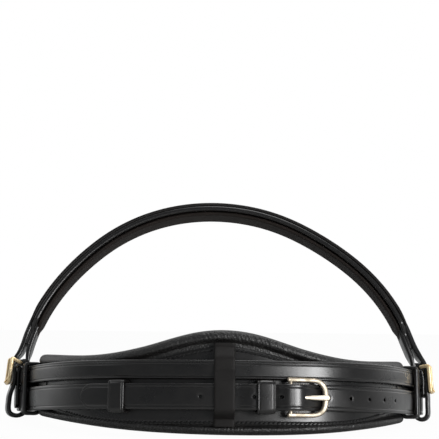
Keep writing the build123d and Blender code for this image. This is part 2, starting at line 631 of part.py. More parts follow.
def arch_layer(inner, outer, width, turn):
    """Part ring of the arch, centred on its width."""
    def at(r, a):
        return Vector(r * sin(radians(a)), r * cos(radians(a)))
    edges = [ThreePointArc(at(outer, turn), at(outer, 0), at(outer, -turn)),
             Line(at(outer, -turn), at(inner, -turn)),
             ThreePointArc(at(inner, -turn), at(inner, 0), at(inner, turn)),
             Line(at(inner, turn), at(outer, turn))]
    return extrude(Face(Wire(edges)), amount=width / 2, both=True)


def narrow_root(inner, outer, stop):
    """Narrow leather of both ends, from a distance along the arch down to the half round end."""
    strip = arch_layer(inner, outer, BILLET_W, ROOT_TURN)
    strip -= arch_layer(inner - outer / 2, 2 * outer, 2 * BILLET_W, arch_turn(stop))
    past = arch_layer(inner, outer, BILLET_W, arch_turn(-BILLET_W))
    for side in (1, -1):
        end = Pos(side * half_span(), NOSE_DROP, 0) * Rot(0, 90, 0) * Cylinder(BILLET_W / 2, 2 * BILLET_W)
        strip += past & end
    return strip


def nose_base():
    """Base leather: wide over the nose, narrowed at both ends, which finish half round."""
    inner = BASE_OUTER - NOSE_BASE_T
    wide = arch_layer(inner, BASE_OUTER, NOSE_BASE_W, arch_turn(BASE_STOP)) - taper_cut(1) - taper_cut(-1)
    return wide + narrow_root(inner, BASE_OUTER, BASE_STOP + NOSE_TAPER / 8)


def taper_cut(side):
    """Wedges that bring the base's end on one side down to the billet's width."""
    turn = radians(arch_turn(BASE_STOP))
    spare = (NOSE_BASE_W - BILLET_W) / 2
    past = 1.2 * spare
    wedge = Polygon((-spare, 0), (0, 0), (NOSE_TAPER, spare), (NOSE_TAPER, past), (-spare, past), align=None)
    tools = []
    for face in (1, -1):
        plane = Plane(origin=(side * BASE_OUTER * sin(turn), BASE_OUTER * cos(turn), face * BILLET_W / 2),
                      x_dir=(-side * cos(turn), sin(turn), 0),
                      z_dir=(side * face * sin(turn), face * cos(turn), 0))
        tools.append(plane * extrude(wedge, amount=2 * spare, both=True))
    return tools[0] + tools[1]


def nose_front():
    """Raised front leather over the filler, with its channel."""
    skin = arch_layer(FRONT_INNER, FRONT_INNER + NOSE_FRONT_T, NOSE_FRONT_W, arch_turn(FRONT_STOP))
    rims = skin.edges().filter_by(GeomType.CIRCLE).sort_by(lambda e: -e.radius)[:2]
    channel = arch_layer(FRONT_INNER - FILLER_T, FRONT_INNER + FILLER_T + LAYER_GAP,
                         FILLER_W + 2 * LAYER_GAP, arch_turn(FILLER_STOP - CHANNEL_PAST))
    return fillet(rims, NOSE_FRONT_T * EDGE_SHARE) - channel


def nose_filler():
    return arch_layer(FRONT_INNER, FRONT_INNER + FILLER_T, FILLER_W, arch_turn(FILLER_STOP))


def nose_lining():
    pad = arch_layer(LINING_OUTER - NOSE_LINING_T, LINING_OUTER, NOSE_LINING_W, arch_turn(LINING_STOP))
    rims = pad.edges().filter_by(GeomType.CIRCLE).sort_by(lambda e: e.radius)[:2]
    return fillet(rims, NOSE_LINING_T * EDGE_SHARE)


def nose_tabs():
    """Outer leather of the two narrow ends, left one first."""
    strip = narrow_root(FRONT_INNER, FRONT_INNER + TAB_T, FRONT_STOP - 2 * LAYER_GAP)
    return strip.solids().sort_by(Axis.X)


# ================================================================ seat the part and write it
LOOP_FOOT = LOOP_LOW - BILLET_T / 2
FOOT_Y = end_frame_point(LEG_AT, (LEG_OUT + TAIL_OUT) / 2).Y
PAD_FOOT_Y = -PAD_OUT + PAD_T / 2
TILT = degrees(atan2(PAD_BOTTOM + LOOP_FOOT, FOOT_Y - PAD_FOOT_Y))


def build():
    cover, foam = jaw_pad()
    parts = {"pad_cover": cover, "pad_foam": foam, "jaw_facing": jaw_facing(),
             "upper_strap": upper_strap(), "closing_strap": closing_strap(),
             "buckle_strap": buckle_strap(), "centre_loop": centre_loop(),
             "fixed_keeper": fixed_keeper(), "runner_keeper": runner(),
             "buckle_frame": buckle_frame(), "buckle_tongue": buckle_tongue()}
    pairs = {"end_keeper": end_keeper(), "billet": billet(), "side_buckle": side_buckle(),
             "side_tongue": side_tongue(), "side_chape": side_chape()}
    for name, shape in pairs.items():
        for side, half in both_ends(shape).items():
            parts[name + "_" + side] = half
    arch = nose_plane()
    parts["nose_strap_base"] = arch * nose_base()
    parts["nose_strap_front"] = arch * nose_front()
    parts["nose_strap_filler"] = arch * nose_filler()
    parts["nose_strap_lining"] = arch * nose_lining()
    left_tab, right_tab = nose_tabs()
    parts["nose_tab_left"] = arch * left_tab
    parts["nose_tab_right"] = arch * right_tab
    return parts


def joint_axes():
    """Point and direction of each joint on the level band."""
    side_middle = FRONT_R - SIDE_R
    bend = radians(FRONT_TURN)
    bar = end_plane().from_local_coords(Vector(SIDE_BAR_OUT, SIDE_BAR_UP, 0))
    run = plan_direction(END_TURN)
    front_bar = buckle_plane().origin
    return {
        "nose_strap_swing": (Vector(0, swing_axis_y(), SWING_UP), Vector(1, 0, 0)),
        "runner_slide": (Vector(-side_middle * sin(bend), FRONT_R - side_middle * cos(bend), LOWER_MID),
                         Vector(0, 0, 1)),
        "front_tongue_turn": (front_bar, Vector(0, 0, -1)),
        "side_tongue_turn_right": (bar, Vector(-run.X, -run.Y, 0)),
        "side_tongue_turn_left": (Vector(-bar.X, bar.Y, bar.Z), Vector(-run.X, run.Y, 0)),
    }


def seat(parts):
    """Placement that tips the level band back and sets it on the ground, centred on the origin."""
    tipped = Rot(-TILT, 0, 0)
    boxes = [(tipped * shape).bounding_box() for shape in parts.values()]
    low = min(b.min.Z for b in boxes)
    middle_y = (min(b.min.Y for b in boxes) + max(b.max.Y for b in boxes)) / 2
    return Pos(0, -middle_y, -low) * tipped


def main():
    parts = build()
    placed = seat(parts)
    os.makedirs("parts", exist_ok=True)
    for name, shape in parts.items():
        export_step(placed * shape, f"parts/{name}.step")
    for name, (point, direction) in joint_axes().items():
        start = (placed * Pos(point)).position
        end = (placed * Pos(point + direction)).position
        axis = end - start
        print(f"{name}: point {start.X:.3f} {start.Y:.3f} {start.Z:.3f}"
              f" axis {axis.X:.6f} {axis.Y:.6f} {axis.Z:.6f}")


main()
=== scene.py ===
# %% [markdown]
# # A padded crank noseband in black leather
# This is the part of a bridle that goes round a horse's nose and under its jaw. A soft contoured pad
# carries two flat straps. The lower strap is buckled in front, and a raised nose strap stands up
# behind, hung from a small buckle at each end. We build it in the order a saddler would: the pad, the
# leather over it, the straps, the keepers, the metal and the nose strap. First we load the solid
# model, which fixes every size and place.

# %% Load the solid model
import json
from math import cos, radians, sin

import bpy
import numpy as np
from mathutils import Matrix, Vector


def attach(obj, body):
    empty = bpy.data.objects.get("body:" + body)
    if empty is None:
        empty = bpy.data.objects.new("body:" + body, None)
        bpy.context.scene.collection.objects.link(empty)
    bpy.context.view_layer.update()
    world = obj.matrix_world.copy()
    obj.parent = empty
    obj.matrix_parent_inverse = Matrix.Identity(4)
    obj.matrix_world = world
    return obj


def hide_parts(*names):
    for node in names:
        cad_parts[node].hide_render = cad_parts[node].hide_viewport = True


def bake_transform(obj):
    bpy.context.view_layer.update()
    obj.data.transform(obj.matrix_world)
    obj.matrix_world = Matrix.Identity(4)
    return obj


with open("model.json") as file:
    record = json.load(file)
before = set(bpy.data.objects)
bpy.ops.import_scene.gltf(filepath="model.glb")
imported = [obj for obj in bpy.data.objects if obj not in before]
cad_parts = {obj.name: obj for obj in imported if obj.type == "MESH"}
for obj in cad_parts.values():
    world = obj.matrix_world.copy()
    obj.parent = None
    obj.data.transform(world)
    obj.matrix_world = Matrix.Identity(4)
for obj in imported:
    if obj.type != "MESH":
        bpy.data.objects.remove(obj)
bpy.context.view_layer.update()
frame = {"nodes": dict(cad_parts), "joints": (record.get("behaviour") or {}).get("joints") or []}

# %% [markdown]
# ## Where things are
# The solid model was drawn level, in millimetres, and then tipped back a little so that the pad and
# both end loops stand on the ground. We work in the same level space: X along the straps, Y from the
# jaw to the nose, Z up from the middle of the two straps. One function seats a level point in the
# scene, in metres. The nose strap's hinge is known in both spaces, so it ties them together.

# %% The band's curve
FRONT_R, SIDE_R, CHEEK_R = 213.0, 88.0, 250.0         # radii across the jaw, round the side, along the cheek
TURN_1, TURN_2, END_TURN = np.radians([13.0, 62.0, 75.0])
STRAP_T, UPPER_W, LOWER_W, STRAP_GAP = 2.8, 11.1, 15.0, 2.3   # the straps' thickness, widths and gap
STRAP_HALF = (UPPER_W + STRAP_GAP + LOWER_W) / 2
UPPER_MID = STRAP_HALF - UPPER_W / 2
LOWER_MID = LOWER_W / 2 - STRAP_HALF
FACING_OUT, FACING_T = -4.85, 2.2                     # how far out the facing's face lies, its thickness
PAD_OUT, PAD_T = -7.15, 8.0                           # and the pad's
LENGTH_1 = FRONT_R * TURN_1
LENGTH_2 = LENGTH_1 + SIDE_R * (TURN_2 - TURN_1)
LENGTH_3 = LENGTH_2 + CHEEK_R * (END_TURN - TURN_2)
LEG_AT = 11.2                                         # the billet's middle, past the fold's start
BILLET_W, BILLET_T, BILLET_LEAN = 12.0, 2.6, 2.4
LEG_OUT, LOOP_R, SWING_UP = -0.6, 3.8, 26.0           # the folds' middle, the billet's loop, the hinge
SIDES = ((-1, "left"), (1, "right"))
UPWARD = np.array([0, 0, 1.0])


def turned(s):
    """How far the band has turned, in radians, s mm along it from the middle."""
    a = np.abs(s)
    t = np.where(a < LENGTH_1, a / FRONT_R, TURN_1 + (a - LENGTH_1) / SIDE_R)
    return np.where(a < LENGTH_2, t, TURN_2 + (a - LENGTH_2) / CHEEK_R)


def band(s, out=0.0, up=0.0):
    """Level points s mm along the straps, out mm outside their outer face and up mm over their middle.
    Three arcs that meet smoothly: each point is its arc's centre plus the radius along the normal."""
    s, out, up = np.broadcast_arrays(np.asarray(s, float), out, up)
    t, a = turned(s), np.abs(s)
    x1, y1 = (FRONT_R - SIDE_R) * np.sin(TURN_1), FRONT_R - (FRONT_R - SIDE_R) * np.cos(TURN_1)
    x2, y2 = x1 + (SIDE_R - CHEEK_R) * np.sin(TURN_2), y1 - (SIDE_R - CHEEK_R) * np.cos(TURN_2)
    radius = np.where(a < LENGTH_1, FRONT_R, np.where(a < LENGTH_2, SIDE_R, CHEEK_R)) + out
    cx = np.where(a < LENGTH_1, 0.0, np.where(a < LENGTH_2, x1, x2))
    cy = np.where(a < LENGTH_1, FRONT_R, np.where(a < LENGTH_2, y1, y2))
    return np.stack([np.sign(s) * (cx + radius * np.sin(t)), cy - radius * np.cos(t), up], axis=-1)


def past_end(along, out, up=0.0):
    """Level points at the right end: along mm past where the straps start to fold, straight on."""
    along, out, up = np.broadcast_arrays(np.asarray(along, float), out, up)
    base = band(LENGTH_3)
    return np.stack([base[0] + along * np.cos(END_TURN) + out * np.sin(END_TURN),
                     base[1] + along * np.sin(END_TURN) - out * np.cos(END_TURN), up], axis=-1)


print("strap length from middle to fold:", round(float(LENGTH_3), 1), "mm")

# %% The seat
SWING = next(j for j in frame["joints"] if j["name"] == "nose_strap_swing")
TILT = radians(5.7446)                                # how far the level model is tipped back
SWING_LEVEL = past_end(LEG_AT, LEG_OUT - BILLET_LEAN, SWING_UP) * [0, 1, 1]


def tipped(points):
    """Level points turned back about X by the tilt."""
    p = np.asarray(points, float)
    y, z = p[..., 1], p[..., 2]
    return np.stack([p[..., 0], y * cos(TILT) + z * sin(TILT), z * cos(TILT) - y * sin(TILT)], axis=-1)


def seated(points):
    """Level millimetres to metres in the scene."""
    return (tipped(points) - tipped(SWING_LEVEL)) / 1000 + np.array(SWING["pos_m"]) * [0, 1, 1]


print("the straps' middle is seated at", seated([0.0, 0.0, 0.0]).round(4).tolist(), "m")

# %% [markdown]
# ## From a grid to a mesh
# Every new piece is a surface over a grid: one direction runs along the piece and the other round its
# cross-section. One function joins such a grid into quads, closes its ends and points it outwards: where
# the pyramids from the origin to its faces add up to less than nothing, it is inside out. Working on
# whole arrays keeps the formula readable and is fast.

# %% From a grid to a mesh
PIECES = []


def surface(name, grid, material, body, nodes=(), loop=False):
    """A mesh from a grid (n along, m round) of level points. The m direction always closes; the n
    direction closes for a loop, and otherwise each end gets one face."""
    n, m = grid.shape[:2]
    points = seated(grid).reshape(-1, 3)
    rows = np.arange(n if loop else n - 1)[:, None] * m
    cols = np.arange(m)[None, :]
    after = (cols + 1) % m
    down = (rows + m) % (n * m)
    quads = np.stack([rows + cols, rows + after, down + after, down + cols], axis=-1).reshape(-1, 4)
    corner = points[quads]
    volume = sum((corner[:, 0] * np.cross(corner[:, k], corner[:, k + 1])).sum() for k in (1, 2))
    ends = [] if loop else [list(range(m))[::-1], list(range((n - 1) * m, n * m))]
    faces = quads.tolist() + ends
    if volume < 0:
        faces = [f[::-1] for f in faces]
    mesh = bpy.data.meshes.new(name)
    mesh.from_pydata(points, [], faces)
    mesh.shade_smooth()
    return finish_piece(name, mesh, material, body, nodes)


def finish_piece(name, mesh, material, body, nodes):
    """Links the mesh as an object, gives it its material and its body, and hides the parts of the solid
    model that it stands for. A piece that lies between two bodies gets no body."""
    mesh.materials.append(material)
    piece = bpy.data.objects.new(name, mesh)
    bpy.context.scene.collection.objects.link(piece)
    if body:
        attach(piece, body)
    if nodes:
        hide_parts(*nodes)
    PIECES.append(piece)
    print(f"{name}: {len(mesh.vertices)} points, {len(mesh.polygons)} faces on {body}")
    return piece


# %% [markdown]
# ## Lines and what is carried along them
# Most of the pieces are strips, so they need two things: a smooth line, and a cross-section carried
# along it. Blender's curves can do that too, but here the section may change at each point, as a strap's
# does where it narrows to its tip.

# %% Lines
def unit(vectors):
    """The same directions, each of length 1."""
    v = np.asarray(vectors, float)
    return v / np.linalg.norm(v, axis=-1, keepdims=True)


def heading(path, loop=False):
    """Which way a path runs at each of its points: from the point before to the point after."""
    return np.roll(path, -1, axis=0) - np.roll(path, 1, axis=0) if loop else np.gradient(path, axis=0)


def distances(points):
    """How far along a line each of its points lies."""
    return np.concatenate([[0], np.cumsum(np.linalg.norm(np.diff(points, axis=0), axis=1))])


def evenly(line, places):
    """The points of a line at the given distances along it."""
    length = distances(line)
    keep = np.concatenate([[True], np.diff(length) > 1e-6])
    return np.stack([np.interp(places, length[keep], line[keep, k]) for k in range(line.shape[1])], axis=-1)


def carried(path, across, profile, loop=False):
    """A profile carried along a path. across says which way its width lies, once or for each point. The
    profile holds (across, out) offsets, one set (m, 2) or one for each path point (n, m, 2)."""
    path = np.asarray(path, float)
    across = np.broadcast_to(np.asarray(across, float), path.shape)
    out = unit(np.cross(heading(path, loop), across))
    profile = np.broadcast_to(profile, (len(path),) + np.shape(profile)[-2:])
    return path[:, None] + profile[..., :1] * across[:, None] + profile[..., 1:] * out[:, None]


# %% A smooth line
def smooth(points, count):
    """Cubic spline through the points, evenly spaced: the second derivative is solved for at every
    point at once, as in a draughtsman's bent batten."""
    p = np.asarray(points, float)
    t = distances(p)
    h = np.diff(t)[:, None]
    n = len(p)
    system, right = np.eye(n), np.zeros_like(p)
    i = np.arange(1, n - 1)
    system[i, i - 1], system[i, i], system[i, i + 1] = h[:-1, 0] / 6, (h[:-1, 0] + h[1:, 0]) / 3, h[1:, 0] / 6
    right[i] = (p[2:] - p[1:-1]) / h[1:] - (p[1:-1] - p[:-2]) / h[:-1]
    bend = np.linalg.solve(system, right)
    u = np.linspace(t[0], t[-1], 20 * count)
    k = np.clip(np.searchsorted(t, u, side="right") - 1, 0, n - 2)
    a, b, step = (t[k + 1] - u)[:, None], (u - t[k])[:, None], h[k]
    fine = (bend[k] * a ** 3 + bend[k + 1] * b ** 3) / (6 * step) \
        + (p[k] / step - bend[k] * step / 6) * a + (p[k + 1] / step - bend[k + 1] * step / 6) * b
    return evenly(fine, np.linspace(0, distances(fine)[-1], count))


# %% [markdown]
# ## The cross-section of a strap
# Strap leather is cut square, then its edges are rounded and burnished, and a hot iron presses a crease
# beside each edge. The section has more points near a crease, so that the light catches it.

# %% Rises, ends and close points
def bump(value, centre, width):
    """A smooth bump, 1 high at its centre and gone past about twice its width."""
    return np.exp(-((value - centre) / width) ** 2)


def quarter_circle(q, least=1e-4):
    """1 at q = 0, falling to nearly 0 at q = 1 as a quarter circle does."""
    return np.sqrt(np.maximum(1 - np.clip(q, 0, 1) ** 2, least))


def ticks(low, high, step, fine=0.0, near=(), reach=0.0):
    """Positions from low to high, a step apart, with fine ones within reach of each place in near."""
    places = [np.linspace(low, high, max(2, int((high - low) / step) + 1))]
    places += [np.arange(max(low, c - reach), min(high, c + reach), fine) for c in near]
    marks = np.unique(np.concatenate(places))
    return marks[np.concatenate([[True], np.diff(marks) > min(fine or step, step) * 0.3])]


# %% Strap section
CREASE_HALF = 0.28                                    # half the width of a creased line


def closed_section(a, face, half, edge, thick, rise=0.0, turns=11):
    """An outer face (a across, face out), closed by a half oval at each edge and a flat back. rise is
    how far the face's middle stands over its edges."""
    bend = np.linspace(0, np.pi, turns + 2)[1:-1]
    out = (thick - rise) / 2 * np.cos(bend)
    right = np.stack([half - edge + edge * np.sin(bend), out - rise / 2], axis=-1)
    back = np.stack([np.linspace(half - edge, edge - half, 7), np.full(7, -thick / 2)], axis=-1)
    left = np.stack([edge - half - edge * np.sin(bend), -out - rise / 2], axis=-1)
    return np.concatenate([np.stack([a, face], axis=-1), right, back, left])


def flat_leather(width, thick, creases=(), holes=False, depth=0.34, edge=0.7, crown=0.15):
    """Cross-section of strap leather, (across, out) round its middle: a crowned outer face with creased
    lines at the places given across it, burnished round edges and a flat back. With holes, it has more
    points along its middle."""
    half = width / 2
    a = ticks(edge - half, half - edge, 0.7, 0.16, creases, 0.9)
    if holes:
        a = np.unique(np.concatenate([a[np.abs(a) > 2.6], np.linspace(-2.5, 2.5, 21)]))
    dip = sum((bump(a, crease, CREASE_HALF) for crease in creases), 0 * a)
    face = thick / 2 + crown * (1 - (a / half) ** 2) - depth * dip
    return closed_section(a, face, half, edge, thick)


def narrowed(profile, new_half):
    """The profile brought in to another half width at each path point. Distances e from its edge shrink
    to e / (1 + k e), so that creases and edges keep their size while the middle gives way."""
    half = profile[:, 0].max()
    e = half - np.abs(profile[:, 0])
    new = np.maximum(new_half, 0.25)[:, None]
    a = np.sign(profile[:, 0]) * (new - e / (1 + e * (half / new - 1) / half))
    return np.stack([a, np.broadcast_to(profile[:, 1], a.shape)], axis=-1)


# %% [markdown]
# ## Leather, thread and metal
# Black bridle leather is drum-dyed cowhide, waxed and rolled smooth: nearly black, with a soft gloss and
# pores too fine to count. The pad is soft nappa with a pebbled grain of about a millimetre. The raised
# front is a softer black leather with little shine, and the lining is a matt dark brown. Each is one
# Principled shader, whose bump and small changes of colour and roughness come from noise and Voronoi
# cells in real millimetres. Every value that is the same all over is set on the shader's own socket.

# %% Material helpers
def linear(code):
    """sRGB hex to the linear colour that Blender's sockets hold."""
    c = np.array([int(code[i:i + 2], 16) for i in (1, 3, 5)]) / 255
    c = np.where(c <= 0.04045, c / 12.92, ((c + 0.055) / 1.055) ** 2.4)
    return (*map(float, c), 1.0)


def add(tree, kind, links=None, **settings):
    """One node: settings that are node properties or input values, and links from other outputs."""
    made = tree.nodes.new(kind)
    for key, value in settings.items():
        if hasattr(made, key) and not key[0].isupper():
            setattr(made, key, value)
        else:
            made.inputs[key.replace("_", " ")].default_value = value
    for key, output in (links or {}).items():
        tree.links.new(output, made.inputs[key])
    return made


def new_material(name):
    """A material, its node tree, its Principled shader and the place on the piece, in metres."""
    material = bpy.data.materials.new(name)
    material.use_nodes = True
    tree = material.node_tree
    shader = tree.nodes["Principled BSDF"]
    place = tree.nodes.new("ShaderNodeTexCoord").outputs["Object"]
    return material, tree, shader, place


def all_over(shader, **values):
    """Values that are the same all over a surface, set on its shader's own sockets."""
    for socket, value in values.items():
        shader.inputs[socket.replace("_", " ")].default_value = value


def ramp(tree, factor, stops):
    """Colour ramp node with (position, colour) stops."""
    made = add(tree, "ShaderNodeValToRGB", {"Fac": factor})
    bar = made.color_ramp.elements
    while len(bar) < len(stops):
        bar.new(0.5)
    for element, (at, colour) in zip(bar, stops):
        element.position, element.color = at, colour
    return made.outputs["Color"]


# %% Leather
TONE_MM = 18.0                                        # how far apart the dye's darker places lie


def leather(name, dark, light, rough, grain_mm, grain, pore_mm, pore, coat, gloss):
    """Dyed leather: cells of grain_mm for the pebbled surface, noise of pore_mm for the pores, a slow
    change of tone, a wax coat and how much light the leather itself throws back."""
    material, tree, shader, place = new_material(name)
    tone = add(tree, "ShaderNodeTexNoise", {"Vector": place}, Scale=1000 / TONE_MM, Detail=4.0,
               Roughness=0.6)
    fine = add(tree, "ShaderNodeTexNoise", {"Vector": place}, Scale=1000 / pore_mm, Detail=3.0,
               Roughness=0.6)
    cells = add(tree, "ShaderNodeTexVoronoi", {"Vector": place}, feature="SMOOTH_F1",
                Scale=1000 / grain_mm, Smoothness=0.5, Randomness=1.0)
    tree.links.new(ramp(tree, tone.outputs["Fac"], [(0.35, linear(dark)), (0.7, linear(light))]),
                   shader.inputs["Base Color"])
    worn = add(tree, "ShaderNodeMapRange", {"Value": tone.outputs["Fac"]}, From_Min=0.3, From_Max=0.7,
               To_Min=rough - 0.05, To_Max=rough + 0.06)
    tree.links.new(worn.outputs["Result"], shader.inputs["Roughness"])
    pores = add(tree, "ShaderNodeBump", {"Height": fine.outputs["Fac"]}, Strength=pore,
                Distance=pore_mm / 3000)
    pebbles = add(tree, "ShaderNodeBump",
                  {"Height": cells.outputs["Distance"], "Normal": pores.outputs["Normal"]},
                  invert=True, Strength=grain, Distance=grain_mm / 3000)
    tree.links.new(pebbles.outputs["Normal"], shader.inputs["Normal"])
    all_over(shader, Specular_IOR_Level=gloss, Coat_Weight=coat, Coat_Roughness=0.2, IOR=1.5)
    return material


# %% The four leathers
# waxed and rolled: the straps and keepers, with a soft gloss
BRIDLE = leather("black_bridle_leather", "#0b0a0a", "#110f0e", rough=0.30, grain_mm=0.9, grain=0.07,
                 pore_mm=0.35, pore=0.12, coat=0.28, gloss=0.36)
# tumbled soft: the pad, whose pebbles break the light up
NAPPA = leather("soft_black_nappa", "#0e0d0d", "#151413", rough=0.44, grain_mm=1.1, grain=0.85,
                pore_mm=0.5, pore=0.35, coat=0.0, gloss=0.5)
# rolled over a filler and left dull: the nose strap's front and the middle loop
RAISED = leather("rolled_black_leather", "#110f0e", "#171514", rough=0.58, grain_mm=0.8, grain=0.04,
                 pore_mm=0.4, pore=0.05, coat=0.0, gloss=0.2)
# undressed: the lining, matt and a little brown
LINING = leather("dark_brown_lining_leather", "#17120f", "#1f1815", rough=0.72, grain_mm=0.8, grain=0.02,
                 pore_mm=0.5, pore=0.03, coat=0.0, gloss=0.2)
print("leathers:", [m.name for m in (BRIDLE, NAPPA, RAISED, LINING)])

# %% [markdown]
# ### Nickel plate and thread
# The fittings are cast brass, tumbled and plated with nickel, all with one plate. The front buckle shows
# its plain cool colour. The side buckles have a warmer, brighter copy of it, a painted warm reflection,
# and the front tongue a paler copy, a painted highlight. The thread is black waxed linen: dull, with a
# thin shine on its plies.

# %% Nickel plate and thread
def nickel(name, bright, dull, rough):
    """Plated and tumbled wire: a metal whose polish changes a little over 4 mm, with hairline scratches."""
    material, tree, shader, place = new_material(name)
    patch = add(tree, "ShaderNodeTexNoise", {"Vector": place}, Scale=1000 / 4, Detail=3.0, Roughness=0.5)
    hair = add(tree, "ShaderNodeTexNoise", {"Vector": place}, Scale=1000 / 0.4, Detail=2.0)
    tree.links.new(ramp(tree, patch.outputs["Fac"], [(0.3, linear(dull)), (0.65, linear(bright))]),
                   shader.inputs["Base Color"])
    polish = add(tree, "ShaderNodeMapRange", {"Value": patch.outputs["Fac"]}, From_Min=0.3, From_Max=0.7,
                 To_Min=rough + 0.08, To_Max=rough - 0.04)
    tree.links.new(polish.outputs["Result"], shader.inputs["Roughness"])
    scratch = add(tree, "ShaderNodeBump", {"Height": hair.outputs["Fac"]}, Strength=0.04, Distance=0.0001)
    tree.links.new(scratch.outputs["Normal"], shader.inputs["Normal"])
    all_over(shader, Metallic=1.0)
    return material


NICKEL = nickel("champagne_nickel_plate", bright="#aca294", dull="#8d8474", rough=0.46)
# painted warm reflection: a warmer, brighter copy of the same nickel plate, for the side buckles
NICKEL_PAINTED_WARM_REFLECTION = nickel("nickel_with_painted_warm_reflection", bright="#fbe6be", dull="#e6ca99", rough=0.44)
# painted highlight: a paler copy of the same nickel plate, for the front tongue
NICKEL_PAINTED_HIGHLIGHT = nickel("nickel_with_painted_highlight", bright="#f4ebdc", dull="#dfd4c3", rough=0.5)


def waxed_thread(name):
    """Waxed linen thread: dark, with its plies drawn as slanting bands."""
    material, tree, shader, place = new_material(name)
    plies = add(tree, "ShaderNodeTexWave", {"Vector": place}, bands_direction="DIAGONAL",
                Scale=1000 / 0.6, Distortion=1.5)
    tree.links.new(ramp(tree, plies.outputs["Fac"], [(0.0, linear("#050505")), (1.0, linear("#0d0d0e"))]),
                   shader.inputs["Base Color"])
    all_over(shader, Roughness=0.6, Specular_IOR_Level=0.28)
    return material


THREAD = waxed_thread("waxed_black_thread")
print("metal and thread:", [m.name for m in (NICKEL, NICKEL_PAINTED_WARM_REFLECTION, NICKEL_PAINTED_HIGHLIGHT, THREAD)])

# %% [markdown]
# ## The jaw pad
# The pad is foam in soft leather. It is widest at its peak in the middle, waists in along the sides and
# ends in small ears. Its top and bottom edges roll forward over the facing's seam. A cushion could be
# inflated by simulation, but the roll and its seam would be lost, so its cross-section is drawn once as a
# closed spline and stretched to the outline at each place. Small puckers, waves across the roll, show
# where the leather is gathered beside the middle.

# %% The pad's outline
PAD_END_X, PAD_END_S, END_ROUND = 117.0, 170.5, 6.0   # where it ends across, along the band, and its rounding
PAD_TOPS = [(0, 31.8), (16.8, 30.1), (44, 22.4), (80, 17.1), (111, 20.4)]
PAD_BOTTOMS = [(0, -28.2), (24, -27.9), (66.6, -25.3), (111, -18.8)]
PAD_LEAN = 0.010                                      # its left end sits this much higher, per mm along
ROLL_TOP, ROLL_BOTTOM = 7.4, 5.6                      # how far the rolls reach down and up over the face


def height_at(x, stations):
    """Height over x from a few stations given for the right half: a spline through both halves."""
    half = np.array(stations, float)
    both = np.concatenate([half[:0:-1] * [-1, 1], half])
    line = smooth(both, 400)
    return np.interp(x, line[:, 0], line[:, 1])


def rounded_end(x, end, length):
    """1 along the piece, falling to 0 over a length at either end."""
    return quarter_circle((np.abs(x) - (end - length)) / length)


def outline(s, out, tops, bottoms, end_x, rounding, lean=0.0):
    """The places of s inside the ends, and there the top, middle and bottom of a piece whose outline
    runs through the stations and closes in a rounded end."""
    x = band(s, out)[:, 0]
    s, x = s[np.abs(x) < end_x], x[np.abs(x) < end_x]
    top, bottom = height_at(x, tops) - lean * x, height_at(x, bottoms) - lean * x
    middle, shape = (top + bottom) / 2, rounded_end(x, end_x, rounding)
    return s, middle + (top - middle) * shape, middle, middle + (bottom - middle) * shape


print("the pad is", round(float(height_at(0, PAD_TOPS) - height_at(0, PAD_BOTTOMS)), 1), "mm high")

# %% [markdown]
# ### The pad's cross-section
# The section runs from the top seam over the top roll, down the back and up over the bottom roll. Its
# key points move with the outline, and one closed spline through them is worked out for all places at
# once. The ripples across the roll are sums of waves of several lengths, so they never repeat.

# %% Splines and ripples
def closed_spline(keys, count):
    """Closed cubic spline through key points (n, k, 2) of every cross-section at once: the weights of
    one spline through unit points are found once and multiply all of them."""
    k = keys.shape[1]
    eye = np.eye(k)
    mean = keys.mean(axis=0)
    steps = np.linalg.norm(np.roll(mean, -1, axis=0) - mean, axis=1) ** 0.5
    knots = np.concatenate([[0], np.cumsum(steps)])
    u = np.arange(count) * knots[-1] / count
    i = np.clip(np.searchsorted(knots, u, side="right") - 1, 0, k - 1)
    w = (u - knots[i]) / steps[i]
    system, left = np.zeros((k, k)), np.zeros((k, k))
    j, a, b = np.arange(k), np.roll(steps, 1), steps
    after = (j + 1) % k
    system[j, j - 1], system[j, j], system[j, after] = b, 2 * (a + b), a
    left[j, j - 1], left[j, j], left[j, after] = -3 * b / a, 3 * (b / a - a / b), 3 * a / b
    slopes = np.linalg.solve(system, left)
    h = steps[i][:, None]
    w = w[:, None]
    weights = (2 * w ** 3 - 3 * w ** 2 + 1) * eye[i] + (w ** 3 - 2 * w ** 2 + w) * h * slopes[i] \
        + (3 * w ** 2 - 2 * w ** 3) * eye[(i + 1) % k] + (w ** 3 - w ** 2) * h * slopes[(i + 1) % k]
    return np.einsum("ck,nkd->ncd", weights, keys)


def waves(s, seed, longest, shortest, count=9):
    """Sum of sine waves of random phase between two wavelengths: an uneven ripple about 1 high."""
    rng = np.random.default_rng(seed)
    lengths = np.exp(rng.uniform(np.log(shortest), np.log(longest), count))
    phases = rng.uniform(0, 2 * np.pi, count)
    return np.sin(s[..., None] * 2 * np.pi / lengths + phases).sum(axis=-1) / count ** 0.5


# %% The pad
def section_keys(top, bottom, middle):
    """The key points (out, up) of the pad's section, at each place along it."""
    back, face = PAD_OUT - PAD_T, PAD_OUT
    rows = [(face, top - ROLL_TOP - 1.5), (face + 0.5, top - ROLL_TOP + 0.2),
            (face + 2.5, top - ROLL_TOP + 2.0), (face + 2.9, top - 3.4), (face + 1.2, top - 0.9),
            (face - 2.5, top), (back + 2.2, top - 0.6), (back + 0.3, top - 3.0), (back - 0.3, top - 9.0),
            (back - 0.6, middle), (back - 0.3, bottom + 9.0), (back + 0.3, bottom + 3.0),
            (back + 2.2, bottom + 0.6), (face - 2.5, bottom), (face + 1.0, bottom + 0.8),
            (face + 2.3, bottom + 2.6), (face + 2.0, bottom + ROLL_BOTTOM - 1.4),
            (face + 0.4, bottom + ROLL_BOTTOM), (face, bottom + ROLL_BOTTOM + 1.5), (face, middle)]
    return np.stack([np.stack(np.broadcast_arrays(out, up), axis=-1) for out, up in rows], axis=1)


